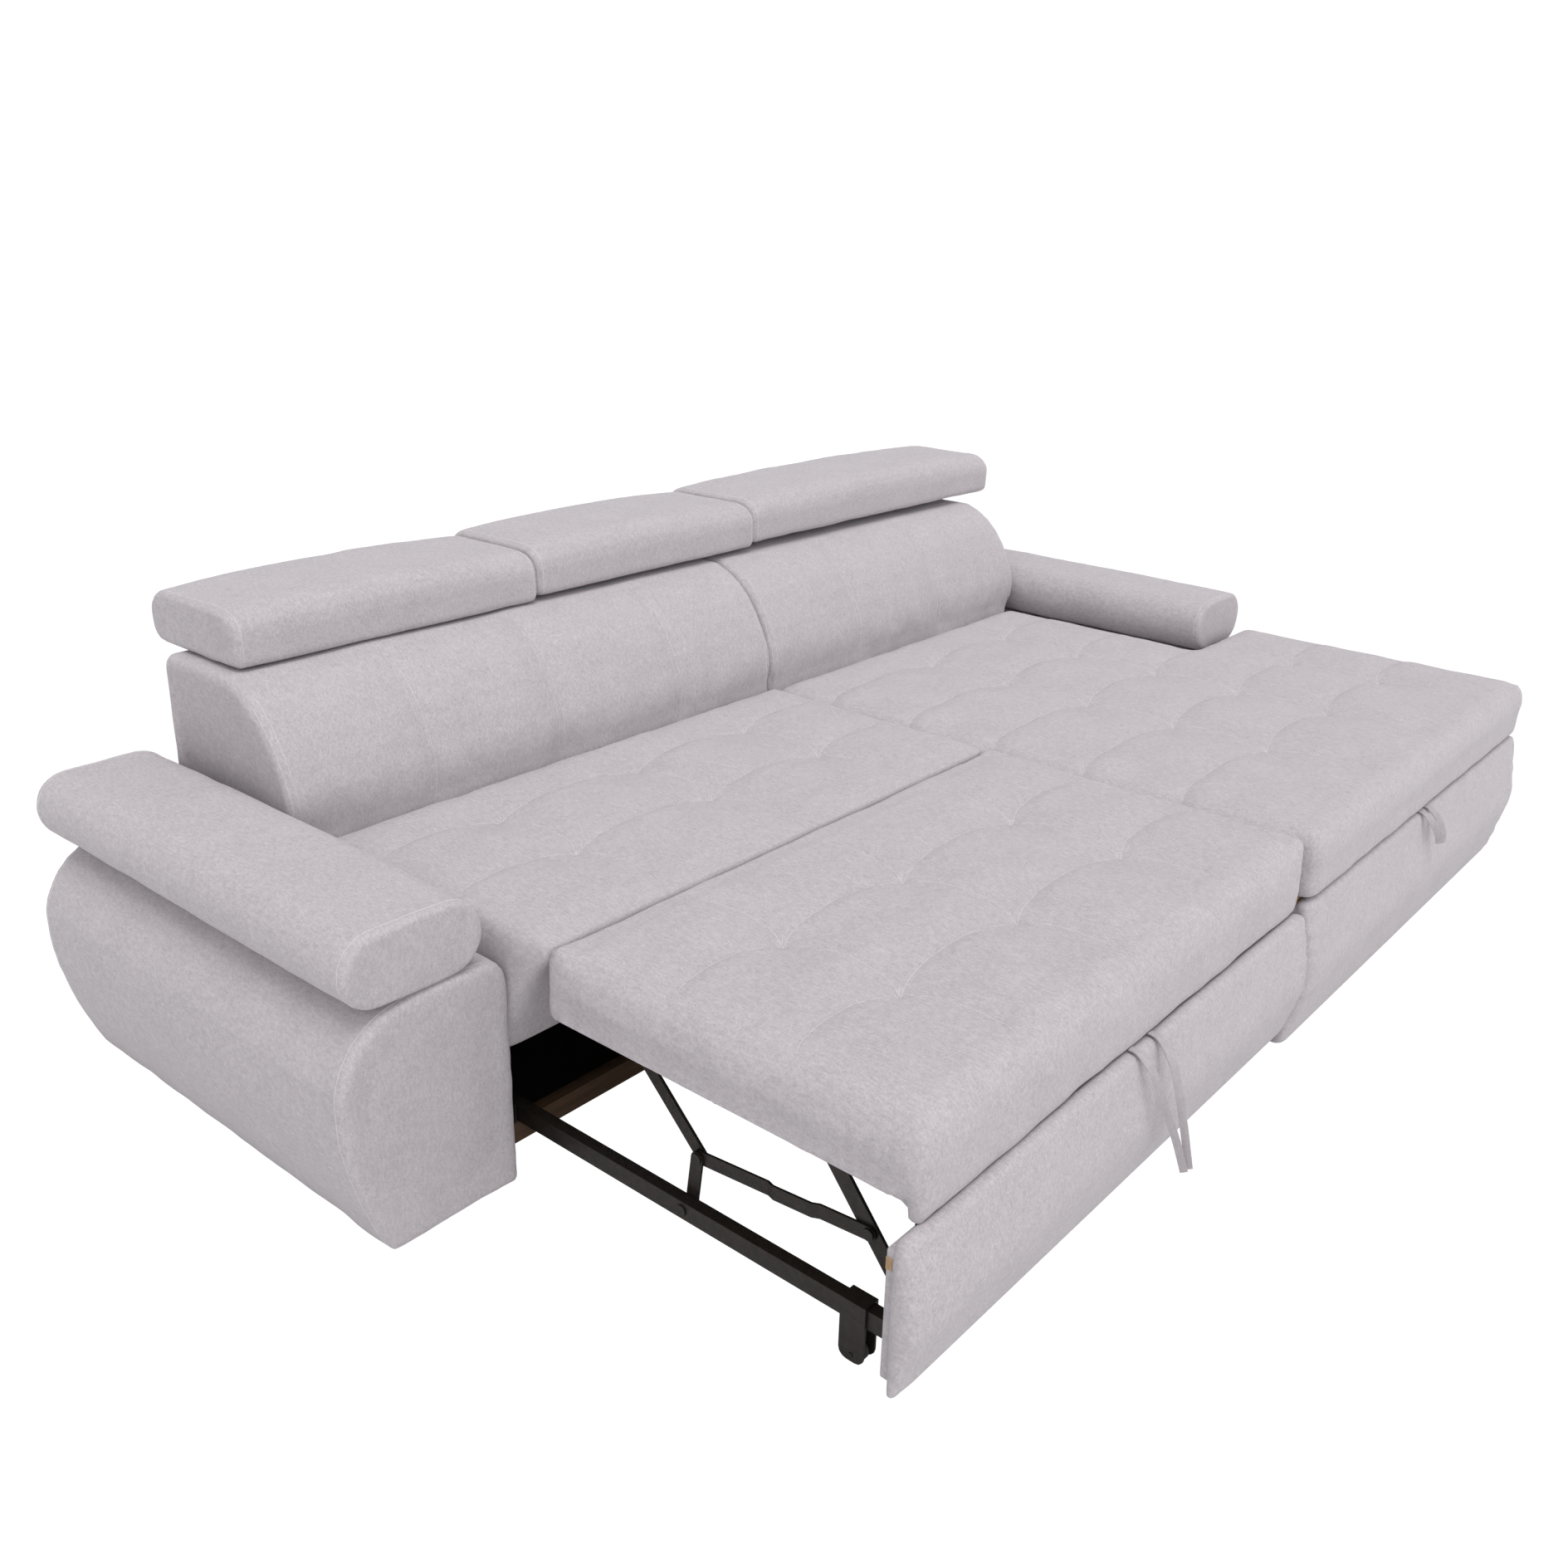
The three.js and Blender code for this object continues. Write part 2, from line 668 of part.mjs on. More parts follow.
const seatColumnShares = [0.232, 0.5147, 0.7767];
const seatRowShares = [0.306, 0.704];
const seatTuftColumns = seatColumnShares.map((share) => bedBayWidth * share);
const seatTuftRows = seatRowShares.map((share) => seatDepth * share);
const tuftGrid = (columns, rows) => columns.flatMap((x) => rows.map((y) => [x, y]));
const nearTuft = tuftRadius * 0.8;
const around = (values) => values.flatMap((value) => [value - nearTuft, value, value + nearTuft]);
const noseShares = [[0.083, 0.909], [0.367, 0.791], [0.667, 0.642], [0.933, 0.492], [1.333, 0.176], [1.5, 0]];

function buildSeatCushion() {
  const [left, right] = [cushionSide, bedBayWidth - cushionSide];
  const [front, rear] = [-noseReach, seatDepth - cushionSide];
  // The whole front, corners too, runs back under itself, and the walls behind it shear with it.
  const shearEnd = deckFront * 3;
  const side = (outward, [x, y, z]) => noseShares.map(([back, up]) => {
    const face = front + noseReach * back;
    const moved = shearEnd + ((y - shearEnd) * (shearEnd - face)) / (shearEnd - front);
    return [x, y < shearEnd ? moved : y, noseBottom + (z - noseBottom) * up];
  });
  const geometry = cushion({
    plan: [[left, front], [right, front], [right, rear], [left, rear]],
    xStops: [...edgeStops(left, 1, cushionEdge), ...edgeStops(right, -1, cushionEdge),
      ...around(seatTuftColumns)],
    yStops: [...edgeStops(front, 1, cushionEdge), ...edgeStops(rear, -1, cushionEdge),
      ...around(seatTuftRows)],
    step: seatGridStep,
    top: seatHeight,
    edge: seatHeight - noseTop,
    tufts: tuftGrid(seatTuftColumns, seatTuftRows),
    side,
  });
  const deckRoom = box(-clearance, bedBayWidth, deckFront - clearance, frameDepth, 0, seatBase);
  addPiece('seat_cushion', cutBy(geometry, deckRoom), fabric);
}

buildSeatCushion();

// Chaise box: side walls, rear wall, return by the arm, floor, padded front

const boxTop = boxHeight - clearance;
const dividerRight = bedBayWidth + clearance + boardThickness;
const boxFront = -panelRear + clearance * 5;
const boxRear = seatDepth - clearance * 4;
const innerSideLeft = innerWidth - chaiseArmGap - boardThickness;
const outerSideRight = chaiseSide - cushionSide;
const returnRear = -chaiseNotchGap;

// A board beside the box that steps down to carry the deck behind it.
function steppedWall(name, start, end, front, finish) {
  const outline = [
    [front, floorGap], [deckRear, floorGap], [deckRear, deckBottom - clearance],
    [seatDepth, deckBottom - clearance], [seatDepth, boxTop], [front, boxTop],
  ];
  addPiece(name, prism('x', outline, start, end), finish);
}

steppedWall('chaise_divider', bedBayWidth + clearance, dividerRight, boxFront, fabric);
steppedWall('chaise_inner_side', innerSideLeft, innerSideLeft + boardThickness, returnRear + clearance, wood);
buildDeck('chaise_deck', bedBayWidth + clearance, innerWidth - chaiseArmGap, seatDepth + clearance, false);
addPiece('chaise_side', box(outerSideRight - boardThickness, outerSideRight, boxFront, returnRear,
  floorGap, boxTop), fabric);
addPiece('chaise_return', box(innerSideLeft, outerSideRight - boardThickness - clearance,
  returnRear - boardThickness, returnRear, floorGap, boxTop), fabric);
addPiece('chaise_box_rear', box(dividerRight + clearance, innerSideLeft - clearance,
  boxRear - boardThickness, boxRear, floorGap, boxTop), wood);

const floorLeft = dividerRight + clearance;
const floorRight = outerSideRight - boardThickness - clearance;
const floorFront = boxFront;
const floorNotch = returnRear - boardThickness - clearance;
addPiece('chaise_floor', prism('z', [
  [floorLeft, floorFront], [floorRight, floorFront], [floorRight, floorNotch],
  [innerSideLeft - clearance, floorNotch], [innerSideLeft - clearance, boxRear - boardThickness - clearance],
  [floorLeft, boxRear - boardThickness - clearance],
], floorGap, floorGap + boardThickness / 2), wood);

// The padded face of a front panel, bulging between its bottom and top edges.
function panelFace(bottom, top, lip) {
  return filleted([
    [-panelBottomFront, bottom, panelCornerRound],
    [-frontReach, (bottom + top) / 2, panelBulgeRound],
    [-panelTopFront, top, panelFrontRound],
    ...lip,
  ], 5);
}

const boardRear = panelRear + boardThickness * 0.9;
const panelStep = panelRear + boardThickness;
addPiece('chaise_front_panel', paddedBar('x', bedBayWidth + clearance, outerSideRight,
  panelFace(floorGap, chaisePanelTop, [
    [-panelStep, chaisePanelTop, panelTopRound / 2], [-panelStep, boxTop],
    [-panelRear, boxTop], [-panelRear, floorGap],
  ]), panelEdge), fabric);

// Chaise lid board and its L-shaped cushion

const chaiseTuftShares = [0.0645, 0.317, 0.5685, 0.82];
const chaiseTuftColumns = chaiseTuftShares.map((share) => bedBayWidth + (chaiseSide - bedBayWidth) * share);
const chaiseRowShares = [-0.643, -0.371, -0.101, 0.171, 0.443];
const chaiseTuftRows = chaiseRowShares.map((share) => chaiseFront * share);

function chaisePlan(inset) {
  const [left, right] = [bedBayWidth + cushionSide + inset, chaiseSide - inset];
  const [front, rear] = [-chaiseFront + inset, seatDepth - cushionSide - inset];
  const [notchX, notchY] = [innerWidth - cushionSide - inset, -chaiseNotchGap - inset];
  return [[left, front], [right, front], [right, notchY], [notchX, notchY], [notchX, rear], [left, rear]];
}

const lidPlan = chaisePlan(lidInset).map(([x, y]) => [x, Math.max(y, -panelStep + lidGap)]);
addPiece('chaise_lid_board', prism('z', lidPlan, boxHeight, cushionBase - clearance), wood);

function buildChaiseCushion() {
  const plan = chaisePlan(0);
  const [[left, front], [right], [, notchY], [notchX], [, rear]] = plan;
  const inFrontOfArm = ([x, y]) => x < notchX - tuftRadius || y < notchY - tuftRadius;
  const edge = cushionEdge;
  const middle = (seatHeight - edge + cushionBase) / 2;
  const rings = [
    [chaiseSideDraw, middle + chaiseFootRound], [chaiseSideDraw, middle - chaiseFootRound * 1.75],
    [chaiseSideDraw * 1.7, cushionBase + chaiseFootRound], [chaiseFootDraw, cushionBase],
  ];
  const side = (outward, [x, y]) => rings.map(([inset, z]) => [x - outward.x * inset, y - outward.y * inset, z]);
  const geometry = cushion({
    plan,
    xStops: [
      ...edgeStops(left, 1, edge), ...edgeStops(notchX, -1, edge), ...edgeStops(right, -1, edge),
      ...around(chaiseTuftColumns),
    ],
    yStops: [
      ...edgeStops(front, 1, edge), ...edgeStops(notchY, -1, edge), ...edgeStops(rear, -1, edge),
      ...around(chaiseTuftRows),
    ],
    step: chaiseGridStep,
    top: seatHeight,
    edge,
    tufts: tuftGrid(chaiseTuftColumns, chaiseTuftRows).filter(inFrontOfArm),
    side,
  });
  addPiece('chaise_cushion', geometry, fabric);
}

buildChaiseCushion();

// Bed front panel on its board

const panelEnds = [-panelOverlap, bedBayWidth - cushionSide * 2];
addPiece('bed_panel_board', box(panelEnds[0] + panelEdge + clearance, panelEnds[1] - panelEdge - clearance,
  -boardRear, -panelRear, panelBottom + panelTopRound, panelTop - panelBoardDrop), wood);
const faceRear = -boardRear - clearance;
addPiece('bed_front_panel', paddedBar('x', ...panelEnds,
  panelFace(panelBottom, panelTop, [[faceRear, panelTop, panelTopRound], [faceRear, panelBottom]]),
  panelEdge), fabric);

// Bed mattress: rounded rear end, lower front lip

const mattressColumnShares = [0.2216, 0.4776, 0.7586];
const mattressRowShares = [0.416, 0.703];
const mattressRearShares = [[0, 0.8], [0.12, 0.35], [0.45, 0.08], [0.9, 0]];
const mattressSideShares = [[0, 0.8], [0.04, 0.35], [0.13, 0.08], [0.3, 0]];
const mattressLipShares = [[0, 0.8], [0, 0.4], [0.4, 0.85], [1.6, 1]];

function buildMattress() {
  const [left, right] = [mattressSide, bedBayWidth - mattressSide];
  const [front, rear] = [-mattressFront, -mattressRear];
  const columns = mattressColumnShares.map((share) => bedBayWidth * share);
  const rows = mattressRowShares.map((share) => -mattressFront * share);
  // Rings below the top edge as [inset, height above the underside], for each kind of edge.
  const rounded = seatHeight - mattressEnd - mattressUnder;
  const lip = mattressLip - mattressUnder;
  const rearRings = mattressRearShares.map(([a, b]) => [a * mattressEnd, b * rounded]);
  const sideRings = mattressSideShares.map(([a, b]) => [a * mattressEnd, b * rounded]);
  const frontRings = mattressLipShares.map(([a, b], k) => [a * tuftDepth, b * (k > 0 ? lip : rounded)]);
  const side = (outward, [x, y]) => rearRings.map((unused, k) => {
    const toFront = outward.y < 0 ? outward.y ** 2 : 0;
    const toRear = outward.y > 0 ? outward.y ** 2 : 0;
    const [inset, height] = [0, 1].map((part) => (
      toFront * frontRings[k][part] + toRear * rearRings[k][part] + outward.x ** 2 * sideRings[k][part]));
    return [x - outward.x * inset, y - outward.y * inset, mattressUnder + height];
  });
  const geometry = cushion({
    plan: [[left, front], [right, front], [right, rear], [left, rear]],
    xStops: [...edgeStops(left, 1, mattressEnd), ...edgeStops(right, -1, mattressEnd), ...around(columns)],
    yStops: [...edgeStops(front, 1, mattressEnd), ...edgeStops(rear, -1, mattressEnd), ...around(rows)],
    step: seatGridStep,
    top: seatHeight,
    edge: mattressEnd,
    tufts: tuftGrid(columns, rows),
    side,
  });
  const underside = box(-armWidth, innerWidth, -platformFront - clearance, 0, 0, mattressUnder);
  addPiece('bed_mattress', cutBy(geometry, underside), fabric);
}

buildMattress();

// Bed carriage and folding linkage, once for each side of the bay.
// Distances across the bay are offsets from its side wall, so both sides share them.

const across = (side, offset) => (side === 'left' ? offset : bedBayWidth - offset);

// A span between two offsets, lowest x first.
function span(side, near, far) {
  const ends = [across(side, near), across(side, far)];
  return [Math.min(...ends), Math.max(...ends)];
}

// A round pin along X between two offsets.
function pin(side, near, far, [y, z], radius) {
  const [start, end] = span(side, near, far);
  return prism('x', circleOutline(y, z, radius, 16), start, end);
}

const railInner = railOffset + railWidth;
const shortStart = railInner + barLayerGap + shortPlateGap;
const shortLayer = [shortStart, shortStart + shortLinkThickness];
const linkLayer = [shortLayer[1] + barLayerGap, shortLayer[1] + barLayerGap + linkThickness];
const leverLayer = [linkLayer[1] + barLayerGap, linkLayer[1] + barLayerGap + leverThickness];
const platformLayer = [leverLayer[1] + 2 * barLayerGap, leverLayer[1] + 2 * barLayerGap + platformRailWidth];

const at = (share, height) => [-mattressFront * share, height];
const pivots = {
  front: at(pivotShares[0], frontPivotHeight),
  platformFront: at(pivotShares[1], platformFrontPivotHeight),
  short: at(pivotShares[2], shortPivotHeight),
  knee: at(pivotShares[3], kneePivotHeight),
  platformRear: at(pivotShares[4], platformRearPivotHeight),
};
const along = (from, to, share) => [from[0] + (to[0] - from[0]) * share, from[1] + (to[1] - from[1]) * share];
pivots.link = along(pivots.front, pivots.platformFront, linkPivotShare);

const barLength = (from, to) => Math.hypot(to[0] - from[0], to[1] - from[1]);
const barTurn = (from, to) => Math.atan2(to[1] - from[1], to[0] - from[0]);

// The outline of a flat bar with round ends, its first pivot at zero.
function barOutline(length, width) {
  const half = width / 2;
  const points = [];
  for (let k = 0; k <= 7; k += 1) {
    const angle = -Math.PI / 2 + (Math.PI * k) / 7;
    points.push([length + half * Math.cos(angle), half * Math.sin(angle)]);
  }
  for (let k = 0; k <= 7; k += 1) {
    const angle = Math.PI / 2 + (Math.PI * k) / 7;
    points.push([half * Math.cos(angle), half * Math.sin(angle)]);
  }
  return points;
}

function buildCarriage(side) {
  const [railStart, railEnd] = span(side, railOffset, railInner);
  const rail = box(railStart, railEnd, -panelRear + clearance, railRear, railBottom, railBottom + railHeight);
  const [plateStart, plateEnd] = span(side, railInner - clearance, shortLayer[1]);
  const plate = prism('x', filleted([
    [-panelRear + clearance, railBottom, 0],
    [-panelRear + clearance + hingePlateWidth, railBottom, 0],
    [-panelRear + clearance + hingePlateWidth, hingePlateTop, bracketCorner],
    [-panelRear + clearance, hingePlateTop, 0],
  ], 4), plateStart, plateEnd);
  const frontPin = pin(side, shortLayer[1] - clearance, leverLayer[1] + rivetHeight, pivots.front, pinRadius);
  const frontBoss = pin(side, shortLayer[1] - clearance, linkLayer[1], pivots.front, rivetRadius);
  const frontHead = pin(side, leverLayer[1] + barLayerGap, leverLayer[1] + barLayerGap + rivetHeight,
    pivots.front, rivetRadius);
  const shortPin = pin(side, railOffset - rivetHeight, shortLayer[1] - clearance, pivots.short, pinRadius);
  const shortHead = pin(side, railOffset - rivetHeight, railOffset + clearance, pivots.short, rivetRadius);
  addPiece(`bed_rail_${side}`, joined(rail, plate, frontBoss, frontPin, frontHead, shortPin, shortHead), steel);

  // The guide is an angle that holds the rail from below and outside.
  const [guideStart, guideEnd] = span(side, railOffset - clearance - guideWall, railInner);
  const webSpan = span(side, railOffset - clearance - guideWall, railOffset - clearance);
  const guideTop = railBottom - clearance;
  const guide = joined(
    box(guideStart, guideEnd, crossRailFront, guideRear, crossRailTop + clearance, guideTop),
    box(...webSpan, crossRailFront, guideRear, crossRailTop + clearance, railBottom + railHeight),
  );
  addPiece(`bed_guide_${side}`, guide, steel);

  // Wheel bracket: a saddle over the rail with a leg down each side of the wheel.
  const outerLeg = [railOffset - clearance - bracketWall, railOffset - clearance];
  const innerLeg = [railInner + clearance, railInner + clearance + bracketWall - clearance];
  const saddle = [railBottom + railHeight + clearance, railBottom + railHeight + clearance + bracketWall];
  const legOutline = (width) => filleted([
    [-wheelBack - width / 2, bracketBottom, bracketCorner],
    [-wheelBack + width / 2, bracketBottom, bracketCorner],
    [-wheelBack + width / 2, saddle[1]],
    [-wheelBack - width / 2, saddle[1]],
  ], 3);
  const wheelAxle = [-wheelBack, wheelRadius - footHeight];
  const bracket = joined(
    prism('x', legOutline(bracketWidth), ...span(side, ...outerLeg)),
    prism('x', legOutline(bracketWidth), ...span(side, ...innerLeg)),
    box(...span(side, outerLeg[0], innerLeg[1]), -wheelBack - bracketWidth / 2, -wheelBack + bracketWidth / 2, ...saddle),
    pin(side, outerLeg[0] - rivetHeight / 2, innerLeg[0] + clearance, wheelAxle, axleRadius),
  );
  addPiece(`wheel_bracket_${side}`, bracket, steel);
  const middle = railOffset + railWidth / 2;
  const [wheelStart, wheelEnd] = span(side, middle - wheelWidth / 2, middle + wheelWidth / 2);
  const rim = circleOutline(...wheelAxle, wheelRadius, 32);
  addPiece(`bed_wheel_${side}`, prism('x', rim, wheelStart, wheelEnd, [[...wheelAxle, axleRadius + pinClearance]]),
    blackPlastic);
}

function buildLinkage(side) {
  const hole = (distance) => [distance, 0, pinRadius + pinClearance];

  const leverLength = barLength(pivots.front, pivots.platformFront);
  const frontLever = prism('x', barOutline(leverLength, leverWidth), ...span(side, ...leverLayer),
    [hole(0), hole(leverLength)]);
  const linkPinPlace = [leverLength * linkPivotShare, 0];
  const linkPin = pin(side, shortLayer[1] - clearance, leverLayer[0] + clearance, linkPinPlace, pinRadius);
  const linkHead = pin(side, shortLayer[1] - rivetHeight, shortLayer[1], linkPinPlace, rivetRadius);
  addPiece(`front_lever_${side}`, joined(frontLever, linkPin, linkHead), steel, {
    y: pivots.front[0], z: pivots.front[1], turn: barTurn(pivots.front, pivots.platformFront),
  });

  // The connecting link steps sideways in the middle, so that it passes the lever's upper pivot
  // when the bed is down.
  const linkLength = barLength(pivots.link, pivots.knee);
  const sideStep = shortLayer[0] - linkLayer[0];
  const strip = [];
  const edgeAt = (offset, distance) => strip.push([across(side, offset), distance]);
  const stepStart = linkLength * joggleStartShare;
  const stepEnd = linkLength * joggleEndShare;
  const walk = [
    [-linkWidth, 0], [stepStart, 0], [stepStart + joggleRamp, sideStep],
    [stepEnd - joggleRamp, sideStep], [stepEnd, 0], [linkLength + linkWidth, 0],
  ];
  walk.forEach(([distance, shift]) => edgeAt(linkLayer[0] + shift, distance));
  [...walk].reverse().forEach(([distance, shift]) => edgeAt(linkLayer[1] + shift, distance));
  const bent = prism('z', strip, -linkWidth, linkWidth);
  const flatSpan = span(side, shortLayer[0] - cutMargin, linkLayer[1] + cutMargin);
  const flat = prism('x', barOutline(linkLength, linkWidth), ...flatSpan, [hole(0), hole(linkLength)]);
  addPiece(`connecting_link_${side}`, overlapOf(flat, bent), steel, {
    y: pivots.link[0], z: pivots.link[1], turn: barTurn(pivots.link, pivots.knee),
  });

  const shortLength = barLength(pivots.short, pivots.knee);
  const shortBar = prism('x', barOutline(shortLength, linkWidth), ...span(side, ...shortLayer), [hole(0)]);
  const rivetEnds = [shortLayer[0] - rivetHeight, shortLayer[0] + clearance];
  const kneeRivet = pin(side, ...rivetEnds, [shortLength, 0], rivetRadius);
  addPiece(`short_link_${side}`, joined(shortBar, kneeRivet), steel, {
    y: pivots.short[0], z: pivots.short[1], turn: barTurn(pivots.short, pivots.knee),
  });

  const rearLength = barLength(pivots.platformRear, pivots.knee);
  addPiece(`rear_lever_${side}`, prism('x', barOutline(rearLength, linkWidth), ...span(side, ...leverLayer),
    [hole(0), hole(rearLength)]), steel, {
    y: pivots.platformRear[0], z: pivots.platformRear[1], turn: barTurn(pivots.platformRear, pivots.knee),
  });

  const platformTop = platformRailBottom + platformRailHeight;
  const railEnds = [-platformFront, -platformRear];
  const platformRail = box(...span(side, ...platformLayer), ...railEnds, platformRailBottom, platformTop);
  const pinned = [pivots.platformFront, pivots.platformRear].flatMap((place) => [
    pin(side, linkLayer[1], platformLayer[0] + clearance, place, pinRadius),
    pin(side, linkLayer[1] - rivetHeight, linkLayer[1], place, rivetRadius),
  ]);
  addPiece(`platform_rail_${side}`, joined(platformRail, ...pinned), steel);
}

for (const side of ['left', 'right']) {
  buildCarriage(side);
  buildLinkage(side);
}

// Cross members between the two sides

const crossSpan = (inner) => [inner + clearance, bedBayWidth - inner - clearance];
addPiece('bed_carriage_cross', box(...crossSpan(railInner), railRear - railHeight, railRear,
  railBottom, railBottom + railHeight), steel);

const tubeShare = crossTubeSetback / barLength(pivots.front, pivots.platformFront);
const tubePlace = along(pivots.front, pivots.platformFront, tubeShare);
addPiece('front_lever_cross_tube', prism('x', circleOutline(...tubePlace, crossTubeRadius, 16),
  ...crossSpan(leverLayer[1])), steel);

const platformTop = platformRailBottom + platformRailHeight;
for (const [name, front] of [
  ['platform_cross_front', -platformFront + platformCrossInset],
  ['platform_cross_rear', -platformRear - platformCrossInset - platformRailWidth],
]) {
  addPiece(name, box(...crossSpan(platformLayer[1]), front, front + platformRailWidth,
    platformTop - platformCrossHeight, platformTop), steel);
}

addPiece('platform_board', box(platformLayer[0], bedBayWidth - platformLayer[0], -platformFront, -platformRear,
  platformTop + clearance, mattressUnder - clearance), wood);

// Pull straps: a folded tape whose two legs hang in front of the panel

function strap(name, x, root, bend, drop) {
  const spreadShares = [0.5, 0.5, 0.48, 0.4, 0.1];
  const places = [root, bend, [-frontReach + strapThickness, bend[1] - drop * 0.15],
    [-frontReach - strapThickness * 2, bend[1] - drop * 0.4], [-frontReach - strapThickness, bend[1] - drop]];
  const legs = [-1, 1].map((way) => {
    const path = new THREE.CatmullRomCurve3(places.map(([y, z], i) => (
      new THREE.Vector3(x + way * strapSpread * spreadShares[i], y, z))));
    const steps = 12;
    const points = [];
    const triangles = [];
    for (let k = 0; k <= steps; k += 1) {
      const centre = path.getPoint(k / steps);
      const tangent = path.getTangent(k / steps);
      const normal = new THREE.Vector3(0, -tangent.z, tangent.y).normalize();
      for (const [w, t] of [[-1, -1], [1, -1], [1, 1], [-1, 1]]) {
        points.push([
          centre.x + (w * strapWidth) / 2,
          centre.y + (normal.y * t * strapThickness) / 2,
          centre.z + (normal.z * t * strapThickness) / 2,
        ]);
      }
    }
    for (let i = 0; i < steps; i += 1) {
      for (let j = 0; j < 4; j += 1) {
        const [p, q] = [i * 4 + j, i * 4 + ((j + 1) % 4)];
        triangles.push([p, q, q + 4], [p, q + 4, p + 4]);
      }
    }
    const last = steps * 4;
    triangles.push([0, 2, 1], [0, 3, 2], [last, last + 1, last + 2], [last, last + 2, last + 3]);
    return closedBody(points, triangles);
  });
  addPiece(name, joined(...legs), fabric);
}

const bedStrapZ = panelTop + clearance + strapThickness / 2;
strap('bed_strap', bedStrapX, [-panelTopFront + panelFrontRound, bedStrapZ],
  [-panelTopFront - clearance, bedStrapZ], strapDrop);
const chaiseStrapZ = (chaisePanelTop + cushionBase) / 2;
strap('chaise_strap', chaiseStrapX, [-panelTopFront + panelFrontRound, chaiseStrapZ],
  [-panelTopFront - clearance, chaiseStrapZ], chaiseStrapDrop);

// Feet

function foot(name, x, y, top) {
  const geometry = new THREE.CylinderGeometry(footRadius, footRadius * 0.85, top - clearance + footHeight, 16);
  geometry.rotateX(Math.PI / 2);
  addPiece(name, geometry, blackPlastic, { x, y, z: (top - clearance - footHeight) / 2 });
}

const armMiddle = armWidth * 0.4;
foot('foot_left_front', -armMiddle, footInset, 0);
foot('foot_left_rear', -armMiddle, frameDepth - footInset, 0);
foot('foot_right_front', innerWidth + armMiddle, footInset, 0);
foot('foot_right_rear', innerWidth + armMiddle, frameDepth - footInset, 0);
foot('foot_chaise_left', dividerRight + footInset, -panelRear + footInset, floorGap);
foot('foot_chaise_right', outerSideRight - boardThickness - footInset, -panelRear + footInset, floorGap);

// The finished sofa stands on its feet, centred over the floor
const extent = new THREE.Box3().setFromObject(sofa);
sofa.position.set(-(extent.min.x + extent.max.x) / 2, -(extent.min.y + extent.max.y) / 2, footHeight);

export default sofa;
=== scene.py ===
import json
import math

import bmesh
import bpy
import numpy as np
from mathutils import Matrix, Vector
from mathutils.bvhtree import BVHTree


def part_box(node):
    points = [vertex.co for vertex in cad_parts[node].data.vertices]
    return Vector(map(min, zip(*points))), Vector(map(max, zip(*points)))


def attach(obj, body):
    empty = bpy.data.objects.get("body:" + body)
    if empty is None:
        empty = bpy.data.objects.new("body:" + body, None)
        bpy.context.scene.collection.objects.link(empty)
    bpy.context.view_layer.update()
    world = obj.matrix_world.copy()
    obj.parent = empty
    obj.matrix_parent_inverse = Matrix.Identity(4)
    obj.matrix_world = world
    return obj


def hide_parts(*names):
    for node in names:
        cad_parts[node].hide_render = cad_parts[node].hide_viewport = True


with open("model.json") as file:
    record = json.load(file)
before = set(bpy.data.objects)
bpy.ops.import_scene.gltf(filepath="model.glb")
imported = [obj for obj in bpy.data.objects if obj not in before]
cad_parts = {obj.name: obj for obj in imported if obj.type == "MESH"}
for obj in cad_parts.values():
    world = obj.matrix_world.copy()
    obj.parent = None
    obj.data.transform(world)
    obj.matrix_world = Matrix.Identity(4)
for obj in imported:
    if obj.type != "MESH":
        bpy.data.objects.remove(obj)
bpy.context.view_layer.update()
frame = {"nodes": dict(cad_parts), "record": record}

# Lengths are worked out in millimetres. X and Y count from the left arm's inner front corner, and heights
# from the frame's underside, which is this far above the floor.
UNDERSIDE = 15.0
SEAT_TOP = 430
X, Y, Z = 0, 1, 2
arm_low, arm_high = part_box("left_arm_body")
ORIGIN = np.array([arm_high.x * 1000, arm_low.y * 1000, UNDERSIDE])

FINE = 6.0
CRISP = 5.0


def to_mm(points):
    return np.asarray(points, float) * 1000 - ORIGIN


def to_m(points):
    return (np.asarray(points, float) + ORIGIN) / 1000


def fade(value, start, length):
    """Rises from 0 at the start to 1 over a length."""
    return np.clip((value - start) / length, 0, 1)


def bell(distance, width):
    """1 at no distance, about a third at the width and almost nothing at twice the width."""
    return np.exp(-((distance / width) ** 2))


# Materials


def new_material(name):
    material = bpy.data.materials.new(name)
    material.use_nodes = True
    tree = material.node_tree
    shader = next(n for n in tree.nodes if n.type == "BSDF_PRINCIPLED")
    return material, tree, shader


def set_inputs(node, values):
    for name, value in values.items():
        node.inputs[name].default_value = value


def noise_node(tree, scale, detail, roughness, stretch=(1, 1, 1), offset=0.0):
    """A noise in the object's own coordinates; the offset keeps two noises apart."""
    coordinates = tree.nodes.new("ShaderNodeTexCoord")
    mapping = tree.nodes.new("ShaderNodeMapping")
    set_inputs(mapping, {"Location": (offset, offset * 0.7, offset * 0.3), "Scale": stretch})
    noise = tree.nodes.new("ShaderNodeTexNoise")
    set_inputs(noise, {"Scale": scale, "Detail": detail, "Roughness": roughness})
    tree.links.new(coordinates.outputs["Object"], mapping.inputs["Vector"])
    tree.links.new(mapping.outputs["Vector"], noise.inputs["Vector"])
    return noise.outputs["Fac"]


def ramp_node(tree, source, margin, dark, light):
    """Turns a noise into tones, dark below the margin and light above one minus the margin."""
    ramp = tree.nodes.new("ShaderNodeValToRGB")
    first, last = ramp.color_ramp.elements
    first.position, first.color = margin, (*dark, 1)
    last.position, last.color = 1 - margin, (*light, 1)
    tree.links.new(source, ramp.inputs["Fac"])
    return ramp.outputs["Color"]


